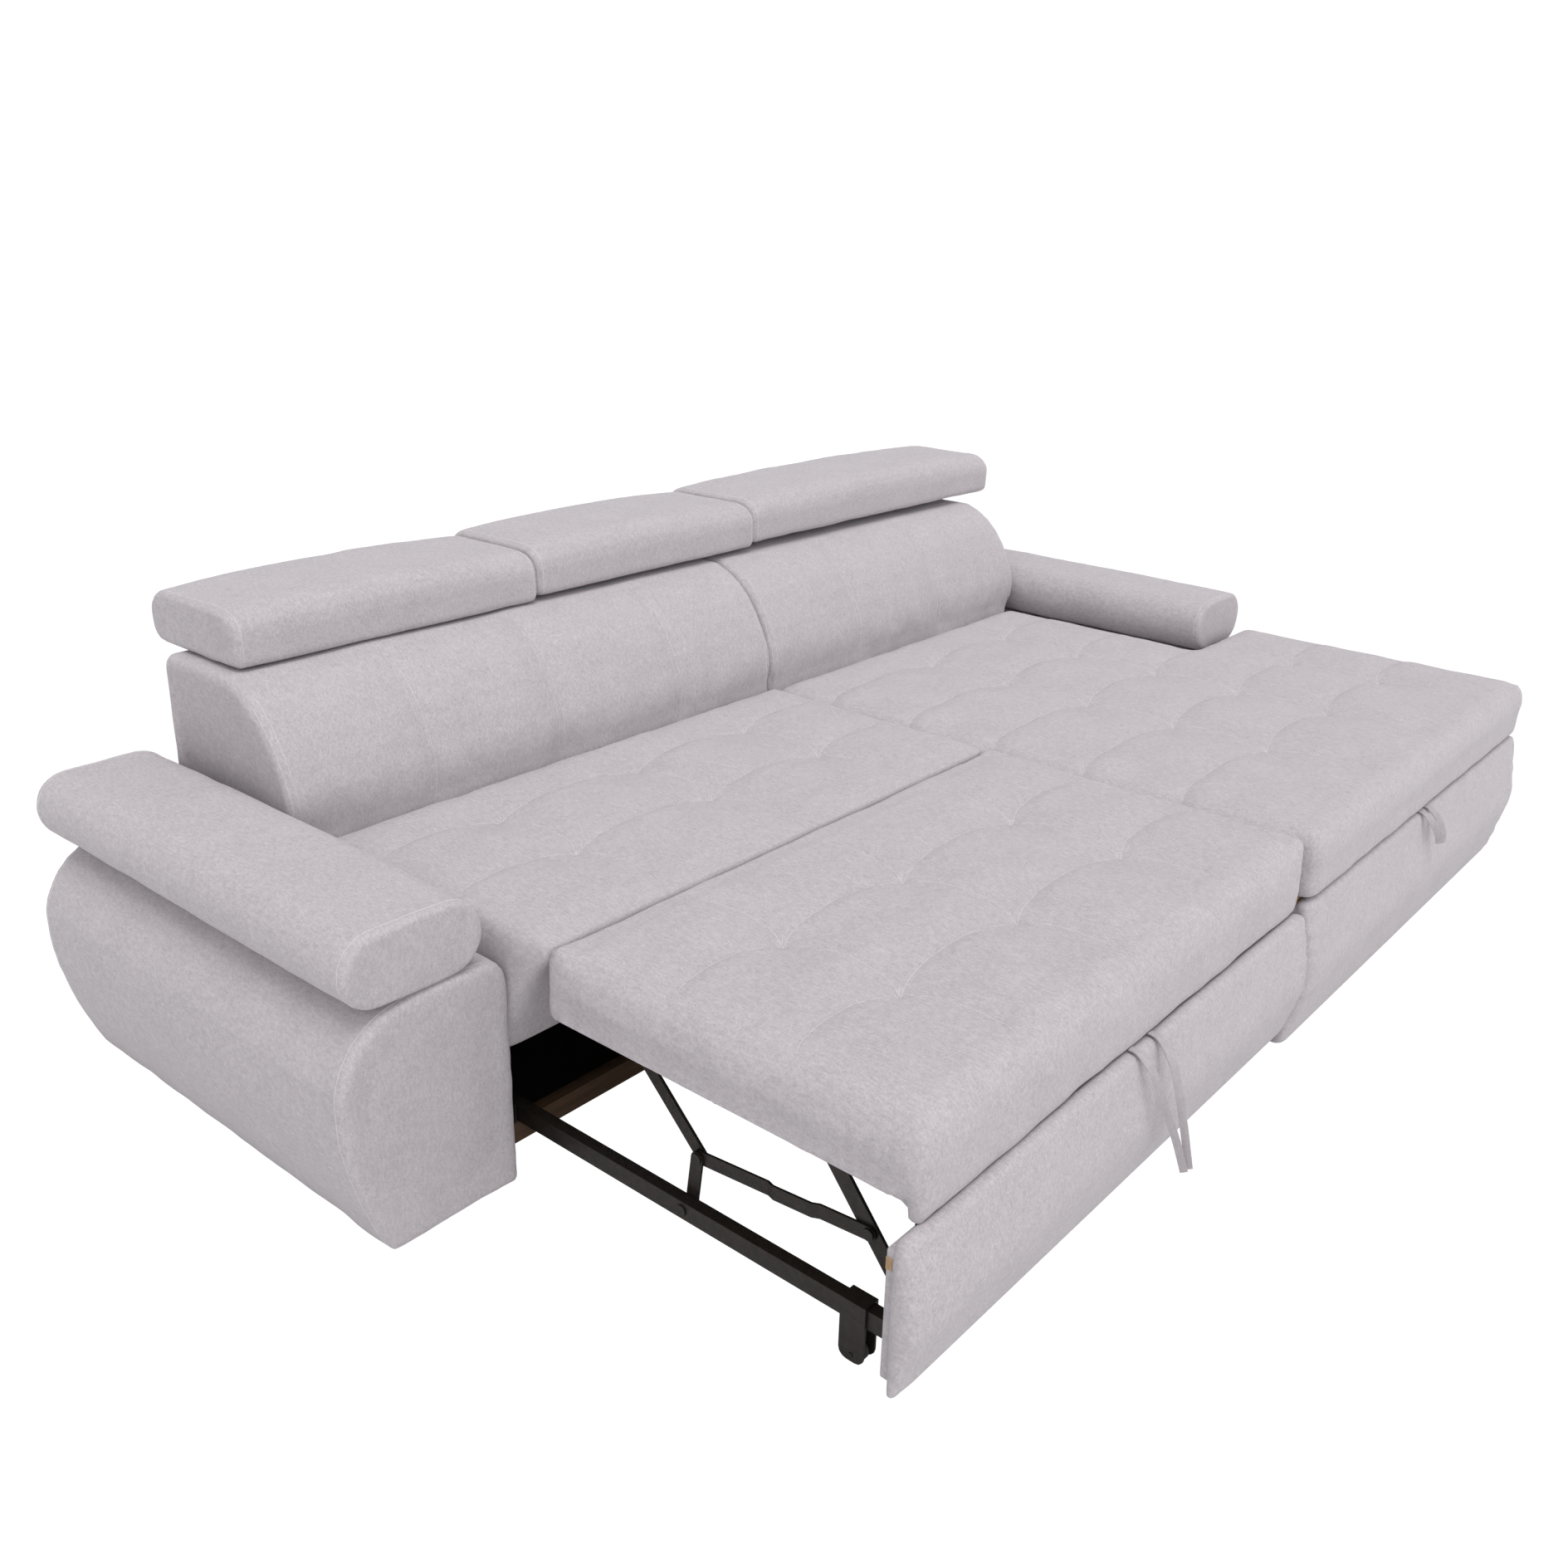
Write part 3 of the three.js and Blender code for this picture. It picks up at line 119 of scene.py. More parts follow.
def mix_node(tree, factor, first, second):
    mix = tree.nodes.new("ShaderNodeMix")
    mix.data_type = "RGBA"
    mix.inputs["Factor"].default_value = factor
    tree.links.new(first, mix.inputs["A"])
    tree.links.new(second, mix.inputs["B"])
    return mix.outputs["Result"]


def bump_node(tree, height, strength, distance, base=None):
    bump = tree.nodes.new("ShaderNodeBump")
    set_inputs(bump, {"Strength": strength, "Distance": distance})
    tree.links.new(height, bump.inputs["Height"])
    if base is not None:
        tree.links.new(base, bump.inputs["Normal"])
    return bump.outputs["Normal"]


def fabric_material(name, color, pile=1.0, contrast=1.0):
    """A brushed velour: faint clouds, a fine fleck, short nap streaks and a soft sheen."""
    material, tree, shader = new_material(name)

    def tones(source, margin, swing):
        dark = [c * (1 - swing * contrast) for c in color]
        light = [c * (1 + swing * contrast) for c in color]
        return ramp_node(tree, source, margin, dark, light)

    cloud = noise_node(tree, scale=12, detail=4, roughness=0.6)
    patch = noise_node(tree, scale=72, detail=5, roughness=0.65, offset=5.3)
    fleck = noise_node(tree, scale=320, detail=4, roughness=0.7, offset=3.1)
    nap = noise_node(tree, scale=290, detail=3, roughness=0.6, stretch=(1.0, 0.3, 0.5), offset=7.7)
    weave = noise_node(tree, scale=420, detail=3, roughness=0.6, offset=1.3)
    broad = mix_node(tree, 0.5, tones(cloud, 0.35, swing=0.08), tones(patch, 0.35, swing=0.13))
    fine = mix_node(tree, 0.45, tones(fleck, 0.33, swing=0.42), tones(nap, 0.35, swing=0.34))
    tree.links.new(mix_node(tree, 0.5, broad, fine), shader.inputs["Base Color"])
    set_inputs(shader, {
        "Roughness": 0.95,
        "Specular IOR Level": 0.12,
        "Sheen Weight": 0.16 * pile,
        "Sheen Roughness": 0.5,
        "Sheen Tint": (0.95, 0.92, 0.95, 1),
    })
    threads = bump_node(tree, weave, strength=0.45 * pile, distance=0.0012)
    relief = bump_node(tree, patch, strength=0.2 * pile, distance=0.003, base=threads)
    tree.links.new(relief, shader.inputs["Normal"])
    return material


def steel_material(name, color, roughness):
    material, tree, shader = new_material(name)
    grain = noise_node(tree, scale=90, detail=4, roughness=0.6)
    tone = ramp_node(tree, grain, 0.3, [0.8 * c for c in color], [1.25 * c for c in color])
    tree.links.new(tone, shader.inputs["Base Color"])
    set_inputs(shader, {"Metallic": 0.55, "Roughness": roughness})
    tree.links.new(bump_node(tree, grain, strength=0.12, distance=0.0004), shader.inputs["Normal"])
    return material


def wood_material(name, dark, light):
    material, tree, shader = new_material(name)
    grain = noise_node(tree, scale=30, detail=5, roughness=0.6, stretch=(0.15, 2.2, 2.2))
    tree.links.new(ramp_node(tree, grain, 0.32, dark, light), shader.inputs["Base Color"])
    set_inputs(shader, {"Roughness": 0.72})
    return material


def plastic_material(name, color, roughness):
    material, _, shader = new_material(name)
    set_inputs(shader, {"Base Color": (*color, 1), "Roughness": roughness})
    return material


FABRIC = fabric_material("velour", (0.490, 0.458, 0.483))
TAPE = fabric_material("tape", (0.44, 0.41, 0.43), pile=0.6, contrast=0.6)
# Lighter than the velour: the thread's own colour on the seams, and a painted highlight where the same
# strands stand for the lit crests of the pleats at the tufts.
THREAD_AND_HIGHLIGHT = fabric_material("thread", (0.63, 0.60, 0.62), pile=0.5, contrast=0.4)
# Near-black cloth for sheets that stand in for deep shade: painted shade.
SHADE_CLOTH = fabric_material("black_painted_shade", (0.012, 0.011, 0.011), pile=0.3)
STEEL = steel_material("dark_steel", (0.030, 0.025, 0.022), roughness=0.42)
WOOD = wood_material("raw_board", dark=(0.33, 0.20, 0.10), light=(0.56, 0.38, 0.21))
# A darker tone of the same wood for the cross rail inside the base: painted shade, as the rail stands in
# shadow there.
SHADED_WOOD = wood_material("board_painted_shade", dark=(0.055, 0.030, 0.016), light=(0.11, 0.062, 0.034))
PLASTIC = plastic_material("black_plastic", (0.013, 0.013, 0.014), roughness=0.55)

BY_SLOT = {
    "upholstery": FABRIC,
    "strap_tape": TAPE,
    "dark_steel": STEEL,
    "plywood": WOOD,
    "black_plastic": PLASTIC,
}
slot_of = {part["node"]: part["material_slot"] for part in frame["record"]["subparts"]}
body_of = {}
for body_name, members in frame["record"]["behaviour"]["bodies"].items():
    for member in members:
        body_of[member] = body_name


def paint(piece, material):
    piece.data.materials.clear()
    piece.data.materials.append(material)


for node_name, node_object in frame["nodes"].items():
    paint(node_object, BY_SLOT[slot_of[node_name]])
# The cross rail gets the darker wood: painted shade inside the base.
paint(frame["nodes"]["base_cross_rail"], SHADED_WOOD)


# Mesh helpers


def add_object(name, data):
    piece = bpy.data.objects.new(name, data)
    bpy.context.collection.objects.link(piece)
    return piece


def read_field(mesh, field):
    flat = np.zeros(len(mesh.vertices) * 3)
    mesh.vertices.foreach_get(field, flat)
    return flat.reshape(-1, 3)


def read_surface(piece):
    """The points of a piece in millimetres, and their normals."""
    return to_mm(read_field(piece.data, "co")), read_field(piece.data, "normal")


def write_points(piece, points):
    piece.data.vertices.foreach_set("co", to_m(points).ravel())
    piece.data.update()


def push(points, normals, amount):
    """Moves the points along their normals."""
    points += normals * amount[:, None]


def surface_of(piece):
    """The faces of a piece, in metres, as a tree for rays and nearest points."""
    corners = [tuple(p) for p in read_field(piece.data, "co")]
    return BVHTree.FromPolygons(corners, [tuple(f.vertices) for f in piece.data.polygons])


def smooth_shading(mesh):
    mesh.polygons.foreach_set("use_smooth", [True] * len(mesh.polygons))
    mesh.update()


def evened(node, name, voxel, rounds):
    """A copy of a CAD node as an even net of small faces, with its edges softened."""
    piece = add_object(name, frame["nodes"][node].data.copy())
    even = piece.modifiers.new("even", "REMESH")
    even.mode = "VOXEL"
    even.voxel_size = voxel / 1000
    soften = piece.modifiers.new("soften", "SMOOTH")
    soften.factor = 0.5
    soften.iterations = rounds
    depsgraph = bpy.context.evaluated_depsgraph_get()
    final = bpy.data.meshes.new_from_object(piece.evaluated_get(depsgraph))
    piece.modifiers.clear()
    piece.data = final
    smooth_shading(final)
    return piece


# Unevenness

WAVE_COUNT = 14
# About the square root of the count, so that the amount is about the height of the field.
WAVE_SUM = 3.7


def ripple(points, seed, length, amount):
    """A smooth random field: waves in many directions, around one wavelength."""
    random = np.random.default_rng(seed)
    total = np.zeros(len(points))
    for _ in range(WAVE_COUNT):
        direction = random.normal(size=3)
        direction /= np.linalg.norm(direction)
        wave = 2 * math.pi / (length * random.uniform(0.6, 1.7))
        total += np.sin(points @ direction * wave + random.uniform(0, 2 * math.pi))
    return total * amount / WAVE_SUM


def soften_all(piece, seed, long=0.8, short=0.25):
    """Gives a whole piece a long and a short unevenness of these heights."""
    points, normals = read_surface(piece)
    push(points, normals, ripple(points, seed, 150, long))
    push(points, normals, ripple(points, seed + 1, 48, short))
    write_points(piece, points)


# Seams


def line_distance(points, line):
    """The distance of each point to a polyline, the share of its length where it is nearest, and its side."""
    best = np.full(len(points), 1e9)
    place = np.zeros(len(points))
    side = np.ones(len(points))
    lengths = np.linalg.norm(np.diff(line, axis=0), axis=1)
    ends = np.concatenate([[0], np.cumsum(lengths)])
    for i in range(len(line) - 1):
        step = line[i + 1] - line[i]
        share = np.clip(((points - line[i]) @ step) / max(step @ step, 1e-9), 0, 1)
        off = points - line[i] - share[:, None] * step
        distance = np.linalg.norm(off, axis=1)
        nearer = distance < best
        best[nearer] = distance[nearer]
        place[nearer] = (ends[i] + share[nearer] * lengths[i]) / ends[-1]
        side[nearer] = np.sign(step[0] * off[nearer, 1] - step[1] * off[nearer, 0])
    return best, place, side


def near_line(points, line, reach):
    """Which points lie in the box around a polyline."""
    low, high = line.min(0) - reach, line.max(0) + reach
    return np.all((points > low) & (points < high), axis=1)


class Seam:
    """A sewn line: points, its strength at both ends, how deep it pulls the cloth in, and how far its
    valley leans to the left of the line, with a full rim on the right."""

    WEAK_SHARE = 0.25
    RIM_HEIGHT, RIM_PLACE, RIM_WIDTH = 2.2, 0.8, 0.4

    def __init__(self, line, start=1.0, end=1.0, depth=3.0, valley=5.0, spread=28.0, width=4.5, lean=0.0):
        self.line = np.asarray(line, float)
        self.start, self.end, self.lean = start, end, lean
        self.depth, self.valley, self.spread, self.width = depth, valley, spread, width

    def pull(self, points):
        total = np.zeros(len(points))
        chosen = near_line(points, self.line, 3 * self.spread)
        if not chosen.any():
            return total
        distance, place, side = line_distance(points[chosen], self.line)
        strength = np.minimum(
            self.start + (1 - self.start) * fade(place, 0, self.WEAK_SHARE),
            self.end + (1 - self.end) * fade(1 - place, 0, self.WEAK_SHARE),
        )
        narrow = self.depth * bell(distance, self.width)
        reach = self.spread * np.where(side > 0, 1 + self.lean, 1 - self.lean)
        broad = self.valley * bell(distance, reach)
        past_rim = distance - self.RIM_PLACE * self.spread
        rim = self.RIM_HEIGHT * self.lean * (side < 0) * bell(past_rim, self.RIM_WIDTH * self.spread)
        total[chosen] = strength * (narrow + broad - rim)
        return total


def arch(start, end, bow, sideways, count=18, steepness=2.6):
    """A flat arc from start to end in plan, bowed sideways by so much, steeper at its ends."""
    t = np.linspace(0, 1, count)
    line = np.outer(1 - t, start) + np.outer(t, end)
    line += np.outer(bow * (1 - np.abs(2 * t - 1) ** steepness), sideways)
    return line


def row_seams(y, stops, bow, ends=(0.1, 0.1)):
    """Arched seams along X from stop to stop, bowed to the back, with these strengths at the outer stops."""
    last = len(stops) - 2
    seams = []
    for k in range(last + 1):
        line = arch((stops[k], y), (stops[k + 1], y), bow, (0, 1))
        seams.append(Seam(line, ends[0] if k == 0 else 1, ends[1] if k == last else 1, lean=0.3))
    return seams


def column_seams(x, stops, bow, ends=0.05):
    """Arched seams along Y from stop to stop, bowed to the right, a little shallower than the rows."""
    last = len(stops) - 2
    seams = []
    for k in range(last + 1):
        line = arch((x, stops[k]), (x, stops[k + 1]), bow, (1, 0))
        seams.append(Seam(line, ends if k == 0 else 1, ends if k == last else 1, depth=2.8, valley=4.6))
    return seams


def grid_seams(columns, rows, x_ends, y_ends, row_bow, column_bow):
    """The seams through a full grid of tufts, out to the cushion's edges."""
    seams = []
    for y in rows:
        seams += row_seams(y, (x_ends[0], *columns, x_ends[1]), row_bow)
    for x in columns:
        seams += column_seams(x, sorted((*y_ends, *rows)), column_bow)
    return seams


def groove(line, depth=1.8):
    """The seam around the end of an arm or a headrest, shallower than a seam between tufts."""
    return Seam(line, depth=depth, valley=0.8, spread=14, width=3.5)


def pull_seams(piece, seams):
    """Pulls the cloth in along sewn lines in space."""
    points, normals = read_surface(piece)
    pull = np.zeros(len(points))
    for seam in seams:
        pull = np.maximum(pull, seam.pull(points))
    push(points, normals, -pull)
    write_points(piece, points)


# Tufted tops

BUTTON_DEPTH, BUTTON_RADIUS = 4.5, 9
DISH_DEPTH, DISH_RADIUS = 15.5, 60
PLEAT_COUNT, PLEAT_REACH, PLEAT_START = 7, 38, 14
# The coarse dents of the CAD tops, and the share of them that is filled before the new ones are made
CAD_DENT_DEPTH, CAD_DENT_RADIUS, FILLED_SHARE = 13, 42, 0.9
# The whole top is raised by this, against the pull of seams and tufts.
TOP_LIFT = 3.6
# Where a seam and a tuft pull together, this share of the weaker pull is added.
JOINT_SHARE = 0.35


def tuft_dents(plan, tufts, seed):
    """How deep buttoned points pull the top in, with fine pleats around each."""
    random = np.random.default_rng(seed)
    total = np.zeros(len(plan))
    for tuft in tufts:
        across, along = (plan - tuft).T
        radius = np.hypot(across, along)
        angle = np.arctan2(along, across)
        deep = BUTTON_DEPTH * bell(radius, BUTTON_RADIUS) + DISH_DEPTH * bell(radius, DISH_RADIUS)
        pleats = np.cos(PLEAT_COUNT * angle + random.uniform(0, 6)) * bell(radius, PLEAT_REACH)
        total = np.maximum(total, deep) + pleats * (1 - bell(radius, PLEAT_START))
    return total


def shape_top(piece, tufts, seams, cad_tufts, top_from, seed):
    """Replaces the coarse dents of the CAD top with sewn seams, tufts and soft unevenness."""
    points, normals = read_surface(piece)
    plan = points[:, :2]
    upward = fade(normals[:, Z], 0.15, 0.5) * fade(points[:, Z], top_from, 12)
    old = np.zeros(len(points))
    for tuft in cad_tufts:
        old = np.maximum(old, CAD_DENT_DEPTH * bell(np.hypot(*(plan - tuft).T), CAD_DENT_RADIUS))
    dents = tuft_dents(plan, tufts, seed)
    lines = np.zeros(len(points))
    for seam in seams:
        pulled = seam.pull(plan)
        lines = np.where(pulled > 0, np.maximum(lines, pulled), lines + pulled)
    pull = np.maximum(dents, lines) + JOINT_SHARE * np.clip(np.minimum(dents, lines), 0, None)
    points[:, Z] += upward * (old * FILLED_SHARE + TOP_LIFT - pull)
    push(points, normals, ripple(points, seed, 130, 0.8))
    push(points, normals, ripple(points, seed + 1, 46, 0.25))
    write_points(piece, points)


def fill_edge(piece, first, second, amount, reach, where=None):
    """Squares the rounding between two faces, each given as axis, place and outward sign."""
    points, normals = read_surface(piece)
    weight = np.full(len(points), float(amount))
    if where is not None:
        weight = weight * where(points[:, Y])
    facing = []
    for axis, place, sign in (first, second):
        weight = weight * np.clip((reach - np.abs(points[:, axis] - place)) / (0.5 * reach), 0, 1)
        facing.append(fade(sign * normals[:, axis], 0.12, 0.4))
    for (axis, place, _), turned in zip((first, second), facing):
        points[:, axis] += weight * turned * (place - points[:, axis])
    write_points(piece, points)


def square_edge(piece, x_edge, inward, y_range):
    """Fills the rounding of a top edge where the next cushion butts against it."""
    reach, height, share = 34, 42, 0.62
    points, _ = read_surface(piece)
    x, y, z = points.T
    near = np.clip(1 - (x - x_edge) * inward / reach, 0, 1)
    near = near * (y > y_range[0]) * (y < y_range[1]) * (z > SEAT_TOP - height)
    z += near * share * np.clip(SEAT_TOP - 3 - z, 0, height)
    write_points(piece, points)


def finish_soft(piece, node):
    paint(piece, FABRIC)
    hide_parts(node)
    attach(piece, body_of[node])


# Sewing thread, and light strands at the tufts that are painted highlights

DOWN, REARWARD = (0, 0, -1), (0, 1, 0)
ABOVE = 500
# The direction in degrees and the length of each light strand that leaves a tuft: a painted highlight on the
# crests of the pleats there
PLEAT_HIGHLIGHTS = ((22, 15), (44, 19), (66, 16), (118, 12))


def thread(name, piece, node, lines, radius, direction=None, sunk=0.2):
    """Sewing thread lying on a piece along its seams, dropped onto it by rays or at the nearest points."""
    surface = surface_of(piece)
    curve = bpy.data.curves.new(name, "CURVE")
    curve.dimensions = "3D"
    curve.bevel_depth = radius / 1000
    curve.bevel_resolution = 1
    curve.use_fill_caps = True
    for line in lines:
        found = []
        for spot in line:
            spot = np.asarray(spot, float)
            if direction is None:
                place, normal, _, _ = surface.find_nearest(Vector(to_m(spot)))
            else:
                start = to_m(spot - np.asarray(direction, float) * 300)
                place, normal, _, _ = surface.ray_cast(Vector(start), Vector(direction), 0.6)
            if place is not None:
                found.append(place - normal * (sunk / 1000))
        if len(found) > 2:
            spline = curve.splines.new("POLY")
            spline.points.add(len(found) - 1)
            for point, place in zip(spline.points, found):
                point.co = (*place, 1)
    holder = add_object(name + "_path", curve)
    depsgraph = bpy.context.evaluated_depsgraph_get()
    mesh = bpy.data.meshes.new_from_object(holder.evaluated_get(depsgraph))
    bpy.data.objects.remove(holder)
    strand = add_object(name, mesh)
    smooth_shading(mesh)
    paint(strand, THREAD_AND_HIGHLIGHT)
    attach(strand, body_of[node])


def top_threads(name, piece, node, seams, tufts):
    """Thread along the plan seams, seen from above, and short light strands that leave each tuft, painted
    highlights on the crests of its pleats.
    """
    lines = []
    for x, y in tufts:
        # Each strand from a tuft is a painted highlight on a pleat crest.
        for degrees, length in PLEAT_HIGHLIGHTS:
            way = math.cos(math.radians(degrees)), math.sin(math.radians(degrees))
            lines.append([(x + way[0] * r, y + way[1] * r, ABOVE) for r in np.linspace(3, length, 5)])
    for seam in seams:
        count = len(seam.line)
        first = int(count * (0.1 if seam.start < 0.5 else 0.03))
        last = int(count * (1 - (0.1 if seam.end < 0.5 else 0.03)))
        lines.append([(x, y, ABOVE) for x, y in seam.line[first:last]])
    thread(name, piece, node, lines, 0.75, DOWN, sunk=0.25)


# Bed mattress

LIP_FRONT = -706


def hang_edges(pad):
    """Brings the foam's lower front lip back down to its cut edge, squares the lower side edge over the
    deck, and lets the side and the edges that meet other cushions swell."""
    low, high = [to_mm(corner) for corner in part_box("bed_mattress")]
    points, _ = read_surface(pad)
    x, y, z = points.T
    lip = fade(-y, 692, 12)
    stops = np.arange(low[X], high[X] + 30, 30)
    lowest = np.array([z[(lip > 0.9) & (np.abs(x - stop) < 26)].min() for stop in stops])
    lip_top, lip_low = 356, np.interp(x, stops, lowest)
    cut_edge = np.interp(x, (60, 400), (288, 298))
    z -= lip * np.clip((lip_top - z) / (lip_top - lip_low), 0, 1) * (lip_low - cut_edge)
    swell, swell_reach = 6, 40
    outer = fade(low[X] + swell_reach - x, 0, swell_reach)
    girth = np.sin(np.pi * fade(z, 318, 118))
    x -= outer * girth * fade(-y, 90, 60) * swell
    write_points(pad, points)
    side = low[X] - 2
    fill_edge(pad, (X, side, -1), (Z, 324, -1), 1, 40, lambda y: fade(y, LIP_FRONT, 12))
    fill_edge(pad, (X, side, -1), (Y, high[Y] + 3, 1), 0.6, 60)
    fill_edge(pad, (X, low[X] + 8, -1), (Z, 290, -1), 0.8, 34, lambda y: fade(-y, -LIP_FRONT, 8))
    fill_edge(pad, (Y, high[Y] + 1, 1), (Z, SEAT_TOP, 1), 0.5, 44)
    fill_edge(pad, (X, high[X] + 3, 1), (Z, SEAT_TOP + 2, 1), 0.62, 44)


def build_mattress():
    columns, rows = (257, 554, 880), (-307, -519)
    tufts = [(x, y) for x in columns for y in rows]
    pad = evened("bed_mattress", "mattress_pad", FINE, 3)
    hang_edges(pad)
    seams = grid_seams(columns, rows, x_ends=(30, 1130), y_ends=(-715, -96), row_bow=27, column_bow=27)
    shape_top(pad, tufts, seams, cad_tufts=tufts, top_from=380, seed=11)
    finish_soft(pad, "bed_mattress")
    top_threads("mattress_thread_and_highlights", pad, "bed_mattress", seams, tufts)


build_mattress()

# Seat cushion


def build_seat():
    columns, rows = (269, 597, 901), (150, 345)
    tufts = [(x, y) for x in columns for y in rows]
    pad = evened("seat_cushion", "seat_pad", FINE, 4)
    right_edge, front_edge = 1158, -79
    square_edge(pad, right_edge, -1, y_range=(-40, 600))
    fill_edge(pad, (Y, front_edge, -1), (Z, SEAT_TOP + 1, 1), 0.9, 44)
    seams = grid_seams(columns, rows, x_ends=(24, 1136), y_ends=(-48, 470), row_bow=26, column_bow=27)
    shape_top(pad, tufts, seams, cad_tufts=tufts, top_from=385, seed=23)
    finish_soft(pad, "seat_cushion")
    top_threads("seat_thread_and_highlights", pad, "seat_cushion", seams, tufts)


build_seat()

# Chaise cushion


def cad_chaise_tufts():
    """The dents of the CAD cushion: one column more than in the photo, and none in the corner at the arm."""
    left, width, depth = 1160, 1240, 754
    corner_x, corner_y = 2076, -94
    columns = [left + width * share for share in (0.0645, 0.317, 0.5685, 0.82)]
    rows = [depth * share for share in (-0.643, -0.371, -0.101, 0.171, 0.443)]
    return [(x, y) for x in columns for y in rows if x < corner_x or y < corner_y]


def build_chaise():
    """An L-shaped cushion: three columns of tufts in front, and two beside the right arm."""
    columns, rows, rear_rows = (1553, 1865, 2177), (-485, -281, -77), (129, 334)
    left_edge, left_end, front_end, rear_end = 1162, 1168, -735, 478
    tufts = [(x, y) for x in columns for y in rows if (x, y) != (2177, -77)]
    tufts += [(x, y) for x in columns[:2] for y in rear_rows]
    pad = evened("chaise_cushion", "chaise_pad", FINE, 4)
    square_edge(pad, left_edge, 1, y_range=(-700, 600))
    seams = []
    for y in rows[:2]:
        seams += row_seams(y, (left_end, *columns, 2384), 26, ends=(1, 0.1))
    for y in (rows[2], *rear_rows):
        seams += row_seams(y, (left_end, *columns[:2], 2104), 26, ends=(1, 0.1))
    for x in columns[:2]:
        seams += column_seams(x, (front_end, *rows, *rear_rows, rear_end), 26)
    seams += column_seams(columns[2], (front_end, *rows[:2], -70), 26)
    shape_top(pad, tufts, seams, cad_chaise_tufts(), top_from=385, seed=37)
    finish_soft(pad, "chaise_cushion")
    top_threads("chaise_thread_and_highlights", pad, "chaise_cushion", seams, tufts)


build_chaise()

# Backrests


def build_back(node, name, seams_x, seed):
    piece = evened(node, name, CRISP, 2)
    points, normals = read_surface(piece)
    x, _, z = points.T
    low, high = [to_mm(corner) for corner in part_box(node)]
    front = fade(-normals[:, Y], 0.1, 0.4) * fade(z, 395, 20)
    pull = np.zeros(len(points))
    for seam in seams_x:
        distance = np.abs(x - seam)
        pull = np.maximum(pull, 2.8 * bell(distance, 4) + 5.0 * bell(distance, 34))
    for edge in (low[X] + 3, high[X] - 3):
        pull = np.maximum(pull, 2.0 * bell(x - edge, 4))
    # The foot of the cushion rolls in under its own weight, with small folds between the seams.
    belly = 7.0 * bell(z - 500, 70)
    foot = 7.0 * bell(z - 436, 34)
    folds = ripple(points * (1, 0.2, 0.35), seed + 5, 44, 1.5) * bell(z - 470, 46)
    push(points, normals, front * (-pull + belly - foot + folds))
    push(points, normals, ripple(points, seed, 150, 0.8))
    write_points(piece, points)
    finish_soft(piece, node)
    rows = [seam + off for seam in seams_x for off in (-6, 6)]
    rows += [low[X] + 5, low[X] + 16, high[X] - 5, high[X] - 16]
    lines = [[(row, 300, height) for height in np.linspace(446, 676, 26)] for row in rows]
    thread(name + "_thread", piece, node, lines, 0.65, REARWARD)


build_back("left_backrest", "left_back_pad", (255, 556, 878), seed=41)
build_back("right_backrest", "right_back_pad", (1489, 1816), seed=53)

# Headrests


def head_loops(piece, low, high, inset):
    """Two loops over a headrest, so far in from its ends, found by rays from outside to its middle."""
    surface = surface_of(piece)
    middle, half = (low + high) / 2, (high - low) / 2
    loops = []
    for x in (low[X] + inset, high[X] - inset):
        center = np.array((x, middle[Y], middle[Z]))
        loop = []
        for angle in np.linspace(math.radians(-60), math.radians(200), 44):
            outer = center + (0, -half[Y] * math.cos(angle) * 1.3, half[Z] * math.sin(angle) * 1.5)
            way = center - outer
            place = surface.ray_cast(Vector(to_m(outer)), Vector(way / np.linalg.norm(way)), 0.5)[0]
            if place is not None:
                loop.append(to_mm(place))
        loops.append(loop)
    return loops


def build_head(side, seed, back, rise, left_end, right_end):
    """A headrest, moved back and up from its CAD place, with its ends moved to the right by so much."""
    node, name = f"{side}_headrest", f"{side}_head_pad"
    piece = evened(node, name, CRISP, 2)
    soften_all(piece, seed)
    low, high = [to_mm(corner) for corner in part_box(node)]
    pull_seams(piece, [groove(loop) for loop in head_loops(piece, low, high, 5)])
    points, _ = read_surface(piece)
    x, _, z = points.T
    share = fade(x, low[X], high[X] - low[X])
    x += np.where(share < 0.5, left_end * (1 - 2 * share), right_end * (2 * share - 1))
    droop = 7
    upper = fade(z, (low[Z] + high[Z]) / 2, (high[Z] - low[Z]) / 2)
    z -= upper * droop * np.abs(2 * share - 1) ** 3
    points += (0, back, rise)
    write_points(piece, points)
    finish_soft(piece, node)
    stitches = head_loops(piece, low + (left_end, back, rise), high + (right_end, back, rise), 13)
    thread(name + "_thread", piece, node, stitches, 0.8)


build_head("left", seed=61, back=0, rise=2.5, left_end=10, right_end=0)
build_head("middle", seed=68, back=6, rise=9.5, left_end=0, right_end=0)
build_head("right", seed=75, back=12, rise=16.5, left_end=0, right_end=30)

# Arms and their pads


def outline_at(points, y, center, count):
    """Points around a body at one depth, found from its own mesh."""
    slice_reach, angle_reach = 9, 0.07
    across, upward = (points[np.abs(points[:, Y] - y) < slice_reach][:, (X, Z)] - center).T
    angles = np.arctan2(upward, across)
    radii = np.hypot(across, upward)
    line = []
    for angle in np.linspace(-math.pi, math.pi, count, endpoint=False):
        near = np.abs((angles - angle + math.pi) % (2 * math.pi) - math.pi) < angle_reach
        if near.any():
            radius = radii[near].mean()
            line.append((center[0] + radius * math.cos(angle), y, center[1] + radius * math.sin(angle)))
    line = np.array(line)
    for _ in range(3):
        line = (np.roll(line, 1, 0) + 2 * line + np.roll(line, -1, 0)) / 4
    return [*line, line[0]]


